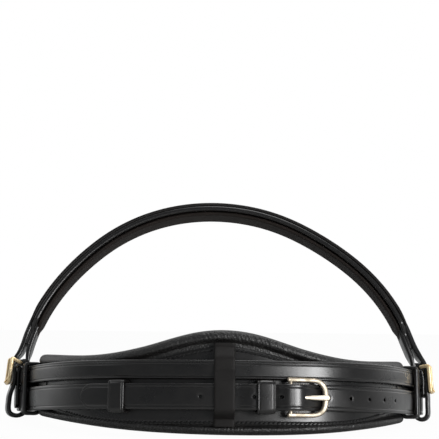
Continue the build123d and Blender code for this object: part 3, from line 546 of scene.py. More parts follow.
def pad_piece():
    """The section over the whole band: thinner at the ends, with puckers on the top roll beside the
    middle, a slow swell above and a fine ripple on the bottom roll."""
    heart = PAD_OUT - PAD_T / 2
    s, top, middle, bottom = outline(np.linspace(-PAD_END_S, PAD_END_S, 620), heart, PAD_TOPS, PAD_BOTTOMS,
                                     PAD_END_X, END_ROUND, PAD_LEAN)
    keys = section_keys(top, bottom, middle)
    thin = 0.25 + 0.75 * rounded_end(s, PAD_END_S, 16.0)[:, None]
    keys[..., 0] = heart + (keys[..., 0] - heart) * thin
    section = closed_spline(keys, 150)
    out, up = section[..., 0], section[..., 1]
    along, top, bottom = s[:, None], top[:, None], bottom[:, None]
    gather = 0.34 * bump(along, 22, 17) + 0.12 * bump(along, -14, 10) + 0.03
    pucker = bump(up, top - 3.6, 2.6) * (out > PAD_OUT - 2) * gather
    out = out + pucker * waves(along + 0.5 * (up - top), seed=5, longest=5.0, shortest=1.5)
    swell = waves(along + 0 * up, seed=8, longest=60, shortest=22)
    out = out + 0.12 * swell * bump(up, top - 4, 6)
    low_roll = bump(up, bottom + 2.8, 2.2) * (out > PAD_OUT - 2)
    out = out + 0.07 * low_roll * waves(along - 0.4 * up, seed=11, longest=5.0, shortest=1.8)
    grid = band(along, out, up)
    return surface("jaw_pad", grid, NAPPA, "band", ("pad_cover", "pad_foam"))


pad = pad_piece()

# %% [markdown]
# ## The facing and its stitching
# A smooth leather face is sewn over the pad, with a row of slanting stitches just inside its edge. The
# facing is the same kind of surface as the pad, thin and flat. Each stitch is a small closed bead with
# few faces, because it is repeated hundreds of times, set in a pressed line.

# %% Facing
FACING_TOPS = [(0, 22.2), (16.8, 20.2), (42, 14.4), (80, 11.7), (107, 11.9)]
FACING_BOTTOMS = [(0, -23.0), (24, -23.0), (83, -20.0), (107, -13.4)]
FACING_END_X = 111.0
STITCH_IN, STITCH_STEP = 2.0, 2.7                     # the stitch line, inside the facing's edge; their pitch


def facing_piece():
    """Two faces, each measured in from its edge so that the groove follows it, and a flat back."""
    s, top, middle, bottom = outline(np.linspace(-160, 160, 520), FACING_OUT, FACING_TOPS,
                                     FACING_BOTTOMS, FACING_END_X, 4.0)
    q = np.concatenate([np.linspace(0, 5, 34), np.linspace(5, 10, 8)[1:]])   # distance in from an edge
    face = FACING_OUT - 0.35 * bump(q, STITCH_IN, 0.5) - 0.9 * bump(q, 0, 0.9)
    face = np.broadcast_to(face, (len(s), len(q)))
    top, bottom, middle = top[:, None], bottom[:, None], middle[:, None]
    upper = np.stack([face, np.maximum(top - q, middle)], axis=-1)
    lower = np.stack([face, np.minimum(bottom + q, middle)], axis=-1)
    back_up = np.linspace(-1, 1, 9) * (top - bottom) / 2 + middle
    back = np.stack([np.full_like(back_up, FACING_OUT - FACING_T), back_up], axis=-1)
    section = np.concatenate([upper, lower[:, ::-1], back], axis=1)
    grid = band(s[:, None], section[..., 0], section[..., 1])
    return surface("jaw_facing_leather", grid, BRIDLE, "band", ("jaw_facing",))


facing_piece()

# %% Stitches
def stitches(name, points, along, outward, body, length=3.2, width=1.15, slant=32.0, sink=0.05):
    """Slanting stitches at the points: each is a bead, an ellipsoid of 8 by 5 faces, turned by slant
    about the outward direction and copied to all points in one array."""
    sides, rings = 8, 4
    v = np.linspace(0, np.pi, rings + 2)[1:-1, None]
    u = np.linspace(0, 2 * np.pi, sides, endpoint=False)
    ring = np.stack(np.broadcast_arrays(np.cos(v), np.sin(v) * np.cos(u), np.sin(v) * np.sin(u)), axis=-1)
    bead = np.concatenate([ring.reshape(-1, 3), [[1, 0, 0], [-1, 0, 0]]]) * [length / 2, width / 2, width / 2]
    side = np.cross(outward, along)
    lean = radians(slant)
    ahead = along * cos(lean) + side * sin(lean)
    aside = np.cross(outward, ahead)
    place = points - outward * sink
    all_points = place[:, None] + bead[:, :1] * ahead[:, None] + bead[:, 1:2] * aside[:, None] \
        + bead[:, 2:] * outward[:, None]
    a = np.arange(sides)
    b, first, last = (a + 1) % sides, sides * rings, sides * (rings - 1)
    faces = [[q + row, q + row + sides, r + row + sides, r + row]
             for row in range(0, last, sides) for q, r in zip(a.tolist(), b.tolist())]
    faces += [[q, r, first] for q, r in zip(a.tolist(), b.tolist())]
    faces += [[last + r, last + q, first + 1] for q, r in zip(a.tolist(), b.tolist())]
    every = [[k + len(bead) * i for k in f] for i in range(len(points)) for f in faces]
    mesh = bpy.data.meshes.new(name)
    mesh.from_pydata(seated(all_points).reshape(-1, 3), [], every)
    mesh.shade_smooth()
    return finish_piece(name, mesh, THREAD, body, ())


# %% The facing's stitches
def facing_stitches():
    """Stitches along the facing's top peak and its whole bottom, clear of the middle loop."""
    s = np.arange(-108, 109, STITCH_STEP)
    s = s[np.abs(s) > 6.5]
    runs = []
    for stations, inward in ((FACING_TOPS, -STITCH_IN), (FACING_BOTTOMS, STITCH_IN)):
        pick = s if inward > 0 else s[np.abs(s) < 60]
        x = band(pick, FACING_OUT)[:, 0]
        runs.append(band(pick, FACING_OUT - 0.2, height_at(x, stations) + inward))
    ahead = unit(np.concatenate([heading(run) for run in runs]))
    return stitches("facing_stitches", np.concatenate(runs), ahead, unit(np.cross(ahead, UPWARD)), "band")


facing_stitches()

# %% [markdown]
# ## Two straps, folded round the billets
# Both straps are cut from the same leather, 2.8 mm thick. At each end a strap opens, goes round the
# billet and comes back behind itself, where a keeper holds it. So each strap is one flat section carried
# along a single line. The buckled strap also rises over the bar of the front buckle and comes down to
# its tail, which ends in a rounded tip.

# %% The straps' middle lines
FOLD_HALF, RETURN_OUT, RETURN_L = 1.5, -4.3, 30.5     # the fold's inner radius, its way back and how long
BAR_AT, BAR_OUT, BUCKLE_L, WIRE = 37.5, 2.0, 23.5, 2.7
TIP_AT, TIP_L = -85.8, 7.4
TURNED_T = 1.2                                        # the buckled strap is thinned where it turns back


def eased(a, b, q):
    """From a to b as q goes from 0 to 1, level at both ends."""
    q = np.clip(q, 0, 1)
    return a + (b - a) * q * q * (3 - 2 * q)


def fold():
    """Middle line of a strap at the right end: off its run, round the billet and back behind the run."""
    half, far = FOLD_HALF + STRAP_T / 2, LEG_AT + BILLET_W / 2 + 0.2
    a, b = np.linspace(0, 5, 9)[1:], np.linspace(5, far, 9)[1:]
    v = np.linspace(np.pi / 2, -np.pi / 2, 15)[1:-1]
    back = np.linspace(LENGTH_3, LENGTH_3 - RETURN_L, 30)
    return np.concatenate([
        past_end(a, eased(-STRAP_T / 2, LEG_OUT + half, a / 5)), past_end(b, LEG_OUT + half),
        past_end(far + half * np.cos(v), LEG_OUT + half * np.sin(v)), past_end(b[::-1], LEG_OUT - half),
        past_end(a[::-1], eased(RETURN_OUT, LEG_OUT - half, a[::-1] / 5)), band(back, RETURN_OUT)])


def buckled_out(s):
    """How far out the buckled strap's middle lies: under the frame, over the bar, down to the tail."""
    return -STRAP_T / 2 + eased(0, 7.51, (58.0 - s) / 18.5) - eased(0, 3.31, (35.5 - s) / 7) \
        - eased(0, 1.3, (16.5 - s) / 8.5)


print("fold:", len(fold()), "points; the tail stands", round(float(buckled_out(-40)), 2), "mm out")

# %% [markdown]
# ### Punched holes
# A strap's holes are punched through with a round tube, and the slot for the tongue with a long one. A
# Boolean with solid prisms does the same here, all at once, and it is applied straight away. The tongue
# rests in the hole where its strap is buckled, a slot of its own.

# %% Where the holes are
TONGUE_HOLE, HOLE_STEP, HOLE_R = 46.6, 15.0, 1.1
HOLES = [TONGUE_HOLE + HOLE_STEP * k for k in range(-4, 6) if k]
SLOT_AT, SLOT_HALF, SLOT_R = 48.4, 2.1, 1.5


def station(s, out=0.0, up=0.0):
    """A place on the band, and there which way is ahead along the straps and which is straight out."""
    ahead = unit(band(s + 0.5, out, up) - band(s - 0.5, out, up))
    return band(s, out, up), ahead, np.cross(ahead, UPWARD)


print("holes at", [round(h, 1) for h in HOLES], "mm")


# %% Punching
def cut_out(piece, ring_pairs):
    """Cuts prisms through a piece, all at once. Each is a pair of rings of level points, its two ends."""
    places, faces, first = [], [], 0
    for pair in ring_pairs:
        points = seated(np.array(pair))
        n = points.shape[1]
        shell = [list(range(n))[::-1], list(range(n, 2 * n))]
        shell += [[i, (i + 1) % n, n + (i + 1) % n, n + i] for i in range(n)]
        one, two = points[1, n // 3] - points[1, 0], points[1, 2 * n // 3] - points[1, 0]
        inside_out = np.dot(np.cross(one, two), points[1, 0] - points[0, 0]) < 0
        faces += [[first + k for k in (f[::-1] if inside_out else f)] for f in shell]
        places.append(points.reshape(-1, 3))
        first += 2 * n
    mesh = bpy.data.meshes.new("punch")
    mesh.from_pydata(np.concatenate(places), [], faces)
    cutter = bpy.data.objects.new("punch", mesh)
    bpy.context.scene.collection.objects.link(cutter)
    cut = piece.modifiers.new("punch", "BOOLEAN")
    cut.operation, cut.solver, cut.object = "DIFFERENCE", "EXACT", cutter
    bpy.context.view_layer.update()
    done = bpy.data.meshes.new_from_object(piece.evaluated_get(bpy.context.evaluated_depsgraph_get()))
    piece.modifiers.clear()
    piece.data = done
    bpy.data.objects.remove(cutter)
    print(f"{piece.name}: {len(ring_pairs)} cut, {len(piece.data.polygons)} faces")
    return piece


def punch(s, out, up, half, r, depth):
    """The two rings of a prism with round ends that stands on the band at a station: half is half its
    straight length, r its radius, and it reaches depth in and out."""
    v = np.linspace(0, 2 * np.pi, 28, endpoint=False) + np.pi / 28
    x, z = r * np.cos(v), r * np.sin(v)
    x = x + np.sign(x) * half
    mid, ahead, outward = station(s, out, up)
    ring = mid + x[:, None] * ahead + z[:, None] * UPWARD
    return ring - outward * depth, ring + outward * depth


# %% The upper strap
UPPER_CREASES = (UPPER_W / 2 - 1.3, UPPER_W / 2 - 2.7, 1.5 - UPPER_W / 2)     # two above, one below
UPPER_SECTION = flat_leather(UPPER_W, STRAP_T, UPPER_CREASES)


def upper_strap_piece():
    """One line: back of the left fold, along the band and round the right fold."""
    end = fold()
    run = band(np.linspace(-LENGTH_3, LENGTH_3, 420), -STRAP_T / 2)
    path = np.concatenate([end[::-1] * [-1, 1, 1], run, end]) + [0, 0, UPPER_MID]
    return surface("upper_strap_leather", carried(path, UPWARD, UPPER_SECTION), BRIDLE, "band",
                   ("upper_strap",))


upper_strap_piece()

# %% The closing strap
LOWER_SECTION = flat_leather(LOWER_W, STRAP_T, (LOWER_W / 2 - 2.2, 2.2 - LOWER_W / 2), holes=True)


def closing_strap_piece():
    """From the tip to the right fold. Its half width falls to the tip as a half ellipse does, and the
    face sinks a little round each hole, where the punch pressed it."""
    s = np.concatenate([TIP_AT + TIP_L * (1 - np.cos(np.linspace(0, np.pi / 2, 22)))[:-1],
                        ticks(TIP_AT + TIP_L, float(LENGTH_3), step=1.2, fine=0.28,
                              near=HOLES + [44.2, 47.2, 50.2], reach=2.4)])
    end = fold()
    path = np.concatenate([band(s, buckled_out(s)), end]) + [0, 0, LOWER_MID]
    along = np.concatenate([s, np.full(len(end), 999.0)])     # the fold is far from every hole
    profile = narrowed(LOWER_SECTION, LOWER_W / 2 * quarter_circle((TIP_AT + TIP_L - along) / TIP_L))
    across = LOWER_SECTION[:, 0]
    face = LOWER_SECTION[:, 1] > STRAP_T / 2 - 0.4
    for at, long, r in [(h, 0.0, HOLE_R) for h in HOLES] + [(SLOT_AT, SLOT_HALF, SLOT_R)]:
        gone = np.hypot(np.clip(np.abs(along - at) - long, 0, None)[:, None], across)
        profile[..., 1] -= 0.16 * face * bump((gone - r).clip(0), 0, 0.6)
    piece = surface("closing_strap_leather", carried(path, UPWARD, profile), BRIDLE, "band",
                    ("closing_strap",))
    round_holes = [punch(h, float(buckled_out(np.array(h))), LOWER_MID, half=0.0, r=HOLE_R, depth=4.0)
                   for h in HOLES]
    slot = punch(SLOT_AT, 2.0, LOWER_MID, half=SLOT_HALF, r=SLOT_R, depth=8.0)
    return cut_out(piece, round_holes + [slot])


closing_strap_piece()


# %% The buckle strap
def buckle_strap_piece():
    """From the left fold to the front buckle. The thinned end turns round the bar and lies back on top."""
    lift = 28.5                                       # where it starts to rise to the bar, over 9 mm
    flat = np.linspace(-LENGTH_3, lift, 260)
    rise = np.linspace(lift, BAR_AT, 16)[1:]
    v = np.linspace(-np.pi / 2, np.pi / 2, 17)[1:-1]
    ring = WIRE / 2 + 0.06 + TURNED_T / 2
    path = np.concatenate([
        fold()[::-1] * [-1, 1, 1], band(flat, -STRAP_T / 2),
        band(rise, eased(-STRAP_T / 2, BAR_OUT - ring, (rise - lift) / 9)),
        band(BAR_AT + ring * np.cos(v), BAR_OUT + ring * np.sin(v)),
        band(rise[::-1], eased(0.7, BAR_OUT + ring, (rise[::-1] - lift) / 9)),
        band(np.linspace(lift, 17.5, 14), 0.7)]) + [0, 0, LOWER_MID]
    count = len(path) - len(v) - len(rise) - 14
    thick = np.full(len(path), TURNED_T / STRAP_T)
    thick[:count] = 1.0
    thick[count - len(rise):count] = eased(1.0, TURNED_T / STRAP_T, np.linspace(0, 1, len(rise)))
    profile = np.repeat(LOWER_SECTION[None], len(path), axis=0)
    profile[..., 1] *= thick[:, None]
    piece = surface("buckle_strap_leather", carried(path, UPWARD, profile), BRIDLE, "band",
                    ("buckle_strap",))
    slot = punch(BAR_AT, BAR_OUT, LOWER_MID, half=4.4 - SLOT_R, r=SLOT_R, depth=5.2)
    return cut_out(piece, [slot])


buckle_strap_piece()

# %% [markdown]
# ## Keepers and the middle loop
# Keepers are short closed loops of thinner leather. One is sewn beside the buckle, one slides on the
# tail and one holds the folds at each end. The middle loop holds both straps to the pad. Each is a strip
# of leather carried round a line with rounded corners, and the leather bulges a little at each turn.

# %% Keepers
def bent(corners, radius, step=0.5, loop=False):
    """Line through the corners with each corner rounded by a parabola that touches both sides."""
    p = np.asarray(corners, float)
    before, after = np.roll(p, 1, axis=0), np.roll(p, -1, axis=0)
    if not loop:
        p, before, after = p[1:-1], before[1:-1], after[1:-1]
    a, b = before - p, after - p
    reach = np.broadcast_to(radius, len(p))[:, None]
    a, b = unit(a) * reach, unit(b) * reach
    t = np.linspace(0, 1, 9)[None, :, None]
    turns = (1 - t) ** 2 * (p + a)[:, None] + 2 * t * (1 - t) * p[:, None] + t ** 2 * (p + b)[:, None]
    line = turns.reshape(-1, p.shape[1])
    ends = (line, line[:1]) if loop else (corners[:1], line, corners[-1:])
    line = np.concatenate(ends)
    length = distances(line)[-1]
    even = np.linspace(0, length, int(length / step) + 1)
    return evenly(line, even[:-1] if loop else even)


def keeper_piece(name, node, s, width, inner, outer, low, high, body, thick=1.6):
    """Closed loop round what lies between two distances out and two heights, at a station."""
    gap = 0.25 + thick / 2
    route = [(outer + gap, high + gap), (outer + gap, low - gap), (inner - gap, low - gap),
             (inner - gap, high + gap)]
    line = bent(np.array(route), 2.0, 0.4, loop=True)
    mid, ahead, outward = station(s)
    path = mid + line[:, :1] * outward + line[:, 1:] * UPWARD
    half = width / 2
    section = flat_leather(width, thick, (half - 1.3, 1.3 - half), depth=0.3, edge=0.6, crown=0.25)
    return surface(name, carried(path, ahead, section, loop=True), BRIDLE, body, (node,), loop=True)


LOW, HIGH = -STRAP_HALF, LOWER_W - STRAP_HALF         # the lower strap's edges
END_KEEPER_AT = float(LENGTH_3) - 5.4
keeper_piece("fixed_keeper_leather", "fixed_keeper", s=23.2, width=10.6, inner=-2.8, outer=4.2,
             low=LOW, high=HIGH, body="band")
keeper_piece("runner_leather", "runner_keeper", s=-61.4, width=10.0, inner=-2.8, outer=2.9,
             low=LOW, high=HIGH, body="runner")
for sign, side in SIDES:
    keeper_piece(f"end_keeper_leather_{side}", f"end_keeper_{side}", s=sign * END_KEEPER_AT, width=12.5,
                 inner=-5.7, outer=0.6, low=LOW, high=STRAP_HALF, body="band", thick=2.3)


# %% The middle loop
def centre_loop_piece():
    """From under the top roll, over both straps and back under the pad: a route of (out, up) corners."""
    route = np.array([(-3.85, 24), (-3.85, 21.8), (1.15, 14.9), (1.15, 8.4), (4.05, 2.2), (4.05, -15),
                      (-3.85, -18.6), (-3.85, -23.6)])
    line = bent(route, 1.6, 0.4)
    path = np.stack([0 * line[:, 0], -line[:, 0], line[:, 1]], axis=-1)
    section = flat_leather(12.0, 1.7, edge=0.9, crown=0.1)
    return surface("centre_loop_leather", carried(path, (1, 0, 0), section), RAISED, "band",
                   ("centre_loop",))


centre_loop_piece()

# %% [markdown]
# ## Behind the ends
# At each end a narrow welt of leather runs behind the gap between the two straps, and a second one is
# wrapped with the folds, so that no light shows through there. Points at an end are given across the
# billet: how far out, how far up and how far along beside it.

# %% End welts
def end_point(out, up, along=0.0, sign=1):
    """Level points in the end frame: out and up across the billet, along beside it."""
    p = past_end(LEG_AT + np.asarray(along, float), out, up)
    return p * [sign, 1, 1]


END_ALONG = np.array([np.cos(END_TURN), np.sin(END_TURN), 0.0])
GAP_MID = [0, 0, UPPER_MID - (UPPER_W + STRAP_GAP) / 2]


def end_welt_pieces(side, sign):
    """The straight welt passes behind the keeper, and the other follows the middle of the fold."""
    behind = past_end(np.linspace(1, 18.5, 18), eased(-4.9, -3.4, np.linspace(0, 1, 18)))
    run = np.concatenate([band(np.linspace(LENGTH_3 - 40, LENGTH_3, 40), -4.9), behind])
    for name, line, section in (("end_welt", run, flat_leather(3.4, 1.2, edge=0.4)),
                                ("fold_welt", fold()[9:30], flat_leather(2.9, 1.9, edge=0.4))):
        path = (line + GAP_MID) * [sign, 1, 1]
        surface(f"{name}_{side}", carried(path, UPWARD, section), BRIDLE, "band")


for sign, side in SIDES:
    end_welt_pieces(side, sign)

# %% [markdown]
# ## The nose strap
# The nose strap is an arch of three leathers: a soft lining, a wide base and a narrower raised front,
# sewn through. Its plane leans back a little, and hanging by soft leather its top has swayed to one
# side. We describe it by an angle from its top, a radius and a distance across its width.

# %% The arch
NOSE_LEAN, NOSE_RISE = radians(81.3), 98.1            # its plane's slope, and how high it stands in it
HALF_SPAN = float(past_end(LEG_AT, LEG_OUT - BILLET_LEAN)[0])
ARCH_R = (HALF_SPAN ** 2 + NOSE_RISE ** 2) / (2 * NOSE_RISE)
ROOT = float(np.arccos((ARCH_R - NOSE_RISE) / ARCH_R))
ARCH_UP = np.array([0, cos(NOSE_LEAN), sin(NOSE_LEAN)])
ARCH_WIDE = np.array([0, -sin(NOSE_LEAN), cos(NOSE_LEAN)])
SWAY = -6.0                                           # the top hangs this far to the left
LEFT_SPREAD, RIGHT_HOLLOW = -2.7, -2.5                # its left foot stands out, its right side is flatter


def arch(angle, radius, wide):
    """Level points of the arch. Its circle's centre lies below the hinges by the radius less the rise."""
    angle, radius, wide = np.broadcast_arrays(np.asarray(angle, float), radius, wide)
    centre = np.array([0, SWING_LEVEL[1], SWING_UP]) - ARCH_UP * (ARCH_R - NOSE_RISE)
    share = np.clip(angle / ROOT, -1, 1)
    sway = SWAY * np.cos(share * np.pi / 2) ** 2 + RIGHT_HOLLOW * bump(share, 0.44, 0.2) \
        + eased(0, LEFT_SPREAD, (-share - 0.5) / 0.4)
    return centre + (radius * np.sin(angle) + sway)[..., None] * np.array([1.0, 0, 0]) \
        + (radius * np.cos(angle))[..., None] * ARCH_UP + wide[..., None] * ARCH_WIDE


print("the arch's radius is", round(float(ARCH_R), 1), "mm")

# %% [markdown]
# ### Its layers
# Each layer is one section carried along the arch. Its half width depends on the distance from the
# hinge: a billet's width at first, half round at the very end, and wide over the nose. The lining ends
# half round and thinner, and shows a pressed seam near each edge. The front has two flat sewn margins
# with a row of stitches each, and between them a round ridge over a filler.

# %% A layer of the arch
END_HALF, WIDE_HALF = 6.0, 11.0                       # half widths at the hinge and over the nose
FRONT_T, BASE_T, LINING_T = 3.4, 2.9, 2.1
FRONT_MID = ARCH_R + 1.2 + FRONT_T / 2
LINING_STOP, LINING_HALF = 7.0, 8.2                   # where the lining ends, and its half width


def arch_piece(name, nodes, stop, radius, section, half_at, material, pinch=(0, 0, 1)):
    """A layer of the arch. stop is its end's distance from the hinge, radius its middle, and half_at
    gives its half width at each distance. pinch is (face that stays, share lost, length): the layer
    thins by that share at its ends."""
    limit = ROOT - stop / ARCH_R
    start = np.concatenate([np.linspace(0, 12, 40), np.linspace(12, limit * ARCH_R, 200)[1:]])
    angle = np.concatenate([start / ARCH_R - limit, (limit - start / ARCH_R)[::-1][1:]])
    left = np.concatenate([start, start[::-1][1:]]) + stop
    profile = narrowed(section, half_at(left))
    stay, lost, length = pinch
    face = stay * np.abs(section[:, 1]).max()
    scale = 1 - lost * (1 - eased(0, 1, (left - stop) / length))
    out = face - (face - profile[..., 1]) * scale[:, None]
    return surface(name, arch(angle[:, None], radius + out, profile[..., 0]), material, "nose_strap", nodes)


# %% The layers' widths
def round_end(left, stop, half, length):
    """Half width near an end that is finished as a half ellipse."""
    return half * quarter_circle((stop + length - left) / length)


def base_half(left):
    """Half width of the base: half round at the hinge, narrow past it and wide over the nose."""
    narrow = np.where(left < 0, np.sqrt(np.maximum(END_HALF ** 2 - left ** 2, 0.02)), END_HALF)
    return narrow + eased(0, WIDE_HALF - END_HALF, (left - 11.5) / 9.2)


def lining_half(left):
    """Half width of the lining: inside the base, and half round at its own end."""
    return np.minimum(base_half(left) - 2.8, round_end(left, LINING_STOP, LINING_HALF, 8.0))


def front_half(left):
    """Half width of the raised front, just inside the base."""
    return base_half(left) - 0.7


# %% The layers' sections
def lining_section(width, thick, seam):
    """Soft lining: thick, with round edges and a pressed seam near each edge of the face it shows."""
    plain = flat_leather(width, thick, (width / 2 - seam, seam - width / 2), depth=0.5, edge=1.0, crown=0.1)
    return plain * [1, -1]


def raised_section(width, thick, rise):
    """The raised front: two flat sewn margins and a round ridge over the filler between them."""
    half = width / 2
    edge, margin = 0.7, 2.2
    a = ticks(edge - half, half - edge, 0.6, 0.2, (half - 2.4, 2.4 - half), 1.2)
    ridge = rise * np.clip(1 - (np.abs(a) / (half - margin)) ** 2, 0, None) ** 0.7
    face = thick / 2 - rise + ridge - 0.3 * bump(np.abs(a), half - margin - 0.1, 0.4)
    return closed_section(a, face, half, edge, thick, rise, 9)


# %% The nose strap
def arch_stitches(name, radius, wide, stop, step=3.0):
    """A row of stitches along the arch, at a distance across its width."""
    angle = np.arange(-(ROOT - stop / ARCH_R), ROOT - stop / ARCH_R, step / ARCH_R)
    points = arch(angle, radius, wide)
    ahead = unit(heading(points))
    outward = unit(np.cross(ahead, ARCH_WIDE * -1))
    outward *= np.sign(np.einsum("ij,ij->i", outward, arch(angle, radius + 1, wide) - points))[:, None]
    return stitches(name, points, ahead, outward, "nose_strap", length=2.0, width=0.55, slant=20.0,
                    sink=0.28)


arch_piece("nose_strap_lining_leather", ("nose_strap_lining",), stop=LINING_STOP,
           radius=ARCH_R - 2.4 - LINING_T / 2, section=lining_section(2 * LINING_HALF, LINING_T, seam=1.5),
           half_at=lining_half, material=LINING, pinch=(1, 0.35, 14.0))
arch_piece("nose_strap_base_leather", ("nose_strap_base",), stop=3.0, radius=ARCH_R - 0.65,
           section=flat_leather(2 * WIDE_HALF, BASE_T, edge=0.8, crown=0.0), half_at=base_half,
           material=BRIDLE)
arch_piece("nose_strap_front_leather", ("nose_strap_front", "nose_strap_filler"), stop=17.5,
           radius=FRONT_MID, section=raised_section(20.6, FRONT_T, rise=1.2), half_at=front_half,
           material=RAISED, pinch=(-1, 0.3, 12.0))
for sign, side in ((-1, "front"), (1, "back")):
    arch_stitches(f"nose_strap_stitches_{side}", FRONT_MID + 0.45, sign * 7.9, 36.0)

# %% [markdown]
# ## The billets
# At each end the nose strap's two narrow leathers part. The outer one runs down outside, turns under the
# folds and comes up inside, where it meets the inner one, so the billet is one strap from the nose strap
# round the loop and back. It lies where the nose strap swings, between the strap's body and the band's,
# and is joined to neither; the side tongue passes through its slot. Its end is tucked down between its
# leg and the folds.

# %% Billets
BILLET_SLOT_UP, BILLET_SLOT_HALF, BILLET_SLOT_R = 10.1, 3.75, 1.5


def billet_piece(side, sign):
    """One line through key points: down the arch's outer side, round the loop, and up its inner side."""
    high = np.array([32, 26, 20, 14, 8])                  # along the arch from the hinge
    outer = arch(sign * (ROOT - high / ARCH_R), ARCH_R + 2.3, 0)
    inner = arch(sign * (ROOT - high[::-1] / ARCH_R), ARCH_R - 2.3, 0)
    v = np.radians([0, -30, -60, -90, -120, -150, -180])
    bow, foot = (3.0, 1.3) if sign < 0 else (0.4, 0.0)    # how far the leg bows out, and stands out on top
    wide = LOOP_R + bow / 2
    rest = np.array([(3.2 + foot, 22.0), (6.1 + foot, 18.0), (7.0 + foot / 3, 13.5), (7.0, 7.0),
                     (7.1 + 0.3 * bow, 1.0), (7.1 + 0.8 * bow, -4.0), (7.0 + bow, -9.0)]
                    + [(wide - 0.6 + wide * c, -13.3 + LOOP_R * s) for c, s in zip(np.cos(v), np.sin(v))]
                    + [(-0.6, -9.0), (-0.6, -2.0), (-0.6, 6.0), (-0.7, 12.0), (-1.9 + foot / 2, 18.0)])
    path = smooth(np.concatenate([outer, end_point(rest[:, 0], rest[:, 1], 0.0, sign), inner]), 330)
    height = path[:, 2]
    share = eased(0, 1, (height - 14.0) / 12.0)[:, None]
    across = (1 - share) * END_ALONG * [sign, 1, 1] - share * ARCH_WIDE
    along = unit(heading(path))
    across = sign * unit(across - (across * along).sum(axis=1, keepdims=True) * along)
    half = BILLET_W / 2
    section = flat_leather(BILLET_W, BILLET_T, (half - 1.5, 1.5 - half))
    profile = np.repeat(section[None], len(path), axis=0)
    profile[..., 1] *= 1 + 0.14 * share                   # the leather is a little thicker up the arch
    piece = surface(f"billet_leather_{side}", carried(path, across, profile), BRIDLE, None,
                    (f"billet_{side}", f"nose_tab_{side}"))
    v = np.linspace(0, 2 * np.pi, 24, endpoint=False) + np.pi / 24
    z = BILLET_SLOT_R * np.sin(v)
    z = BILLET_SLOT_UP + z + np.sign(z) * BILLET_SLOT_HALF
    cut_out(piece, [[end_point(out, z, BILLET_SLOT_R * np.cos(v), sign) for out in (5.0, 9.0)]])
    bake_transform(piece)


# %% Billet tails
def billet_tail(side, sign, low):
    """The billet's end, tucked down between its own leg and the folds, as far as a height."""
    rest = np.array([(3.9, 14.6), (4.3, 12.4), (4.75, 9.5), (4.8, 4.0), (4.8, -1.0), (4.8, low)])
    path = smooth(end_point(rest[:, 0], rest[:, 1], 0.0, sign), 60)
    across = -END_ALONG * [sign, 1, 1] * sign
    half = round_end(np.linspace(27, 0, 60), 0.0, 5.7, 4.0)
    profile = narrowed(flat_leather(BILLET_W - 0.6, 2.1), half)
    surface(f"billet_tail_{side}", carried(path, across, profile), BRIDLE, "band")


for sign, side in SIDES:
    billet_piece(side, sign)
    billet_tail(side, sign, -12.4 if sign < 0 else -3.2)

# %% [markdown]
# ## The metal
# The front buckle is flattened wire bent to a D, closed by the bar that the strap turns round. Each side
# buckle is two bars joined by bowed arms. Each tongue has an eye round its bar and a shank that lies on
# the far wire. Wire is a tube: a circle, or a flattened one, carried along a smooth line. The side
# buckles' nickel carries a painted warm reflection, and the front tongue's a painted highlight.

# %% Wire
def tube(name, path, wide, deep, normal, body, nodes=(), loop=False, power=2.0, metal=NICKEL):
    """Wire with an oval section along any path. normal sets which way its width lies; deep is along it.
    wide and deep may change along the path, and a higher power makes the oval squarer."""
    path = np.asarray(path, float)
    along = unit(heading(path, loop))
    n = np.broadcast_to(np.asarray(normal, float), path.shape)
    n = unit(n - (n * along).sum(axis=1, keepdims=True) * along)
    side = np.cross(along, n)
    v = np.linspace(0, 2 * np.pi, 28, endpoint=False)
    c = np.sign(np.cos(v)) * np.abs(np.cos(v)) ** (2 / power)
    d = np.sign(np.sin(v)) * np.abs(np.sin(v)) ** (2 / power)
    wide, deep = (np.broadcast_to(np.asarray(q, float), len(path))[:, None, None] for q in (wide, deep))
    grid = path[:, None] + wide / 2 * c[:, None] * side[:, None] + deep / 2 * d[:, None] * n[:, None]
    return surface(name, grid, metal, body, nodes, loop=loop)


def blunt(count, length, step):
    """Share of the full width along a wire whose two ends are rounded over a length."""
    d = np.minimum(np.arange(count), np.arange(count)[::-1]) * step
    return quarter_circle(1 - d / length, 0.01)


# %% Front buckle
BAR_MID = band(BAR_AT, BAR_OUT)
RUN = band(BAR_AT + BUCKLE_L - WIRE, BAR_OUT) - BAR_MID     # from the bar to the round end's middle
REACH = float(np.linalg.norm(RUN))
BUCKLE_W, BEHIND_BAR = 22.5, 2.1                      # its outside width; how far its arms pass the bar


def buckle_place(x, z, out):
    """Level points in the front buckle's plane: x from its bar towards the round end, z up, out."""
    x, z, out = (np.asarray(q, float)[..., None] for q in (x, z, out))
    ahead = RUN / REACH
    return BAR_MID + x * ahead + (z + LOWER_MID) * UPWARD + out * np.cross(ahead, UPWARD)


BUCKLE_OUTWARD = buckle_place(0, 0, 1.0) - buckle_place(0, 0, 0.0)


def front_buckle():
    """A D of flattened wire, a little wider at its round end, and the straight bar that closes it."""
    half = (BUCKLE_W - WIRE) / 2
    line = bent(np.array([(-BEHIND_BAR, half), (REACH, half), (REACH, -half), (-BEHIND_BAR, -half)]),
                np.array([8.6, 8.6]), 0.5)
    path = buckle_place(line[:, 0], line[:, 1], 0.0)
    flat = 1 + 0.22 * np.clip((line[:, 0] - REACH + 5) / 5, 0, 1)
    ends = blunt(len(line), 0.5, 0.5)
    tube("front_buckle_wire", path, wide=2.8 * flat * ends, deep=2.6 * ends, normal=BUCKLE_OUTWARD,
         body="band", nodes=("buckle_frame",), power=2.7)
    bar = np.linspace(-half, half, 30)
    tube("front_buckle_bar", buckle_place(0 * bar, bar, 0.0), wide=2.5, deep=2.5, normal=BUCKLE_OUTWARD,
         body="band")


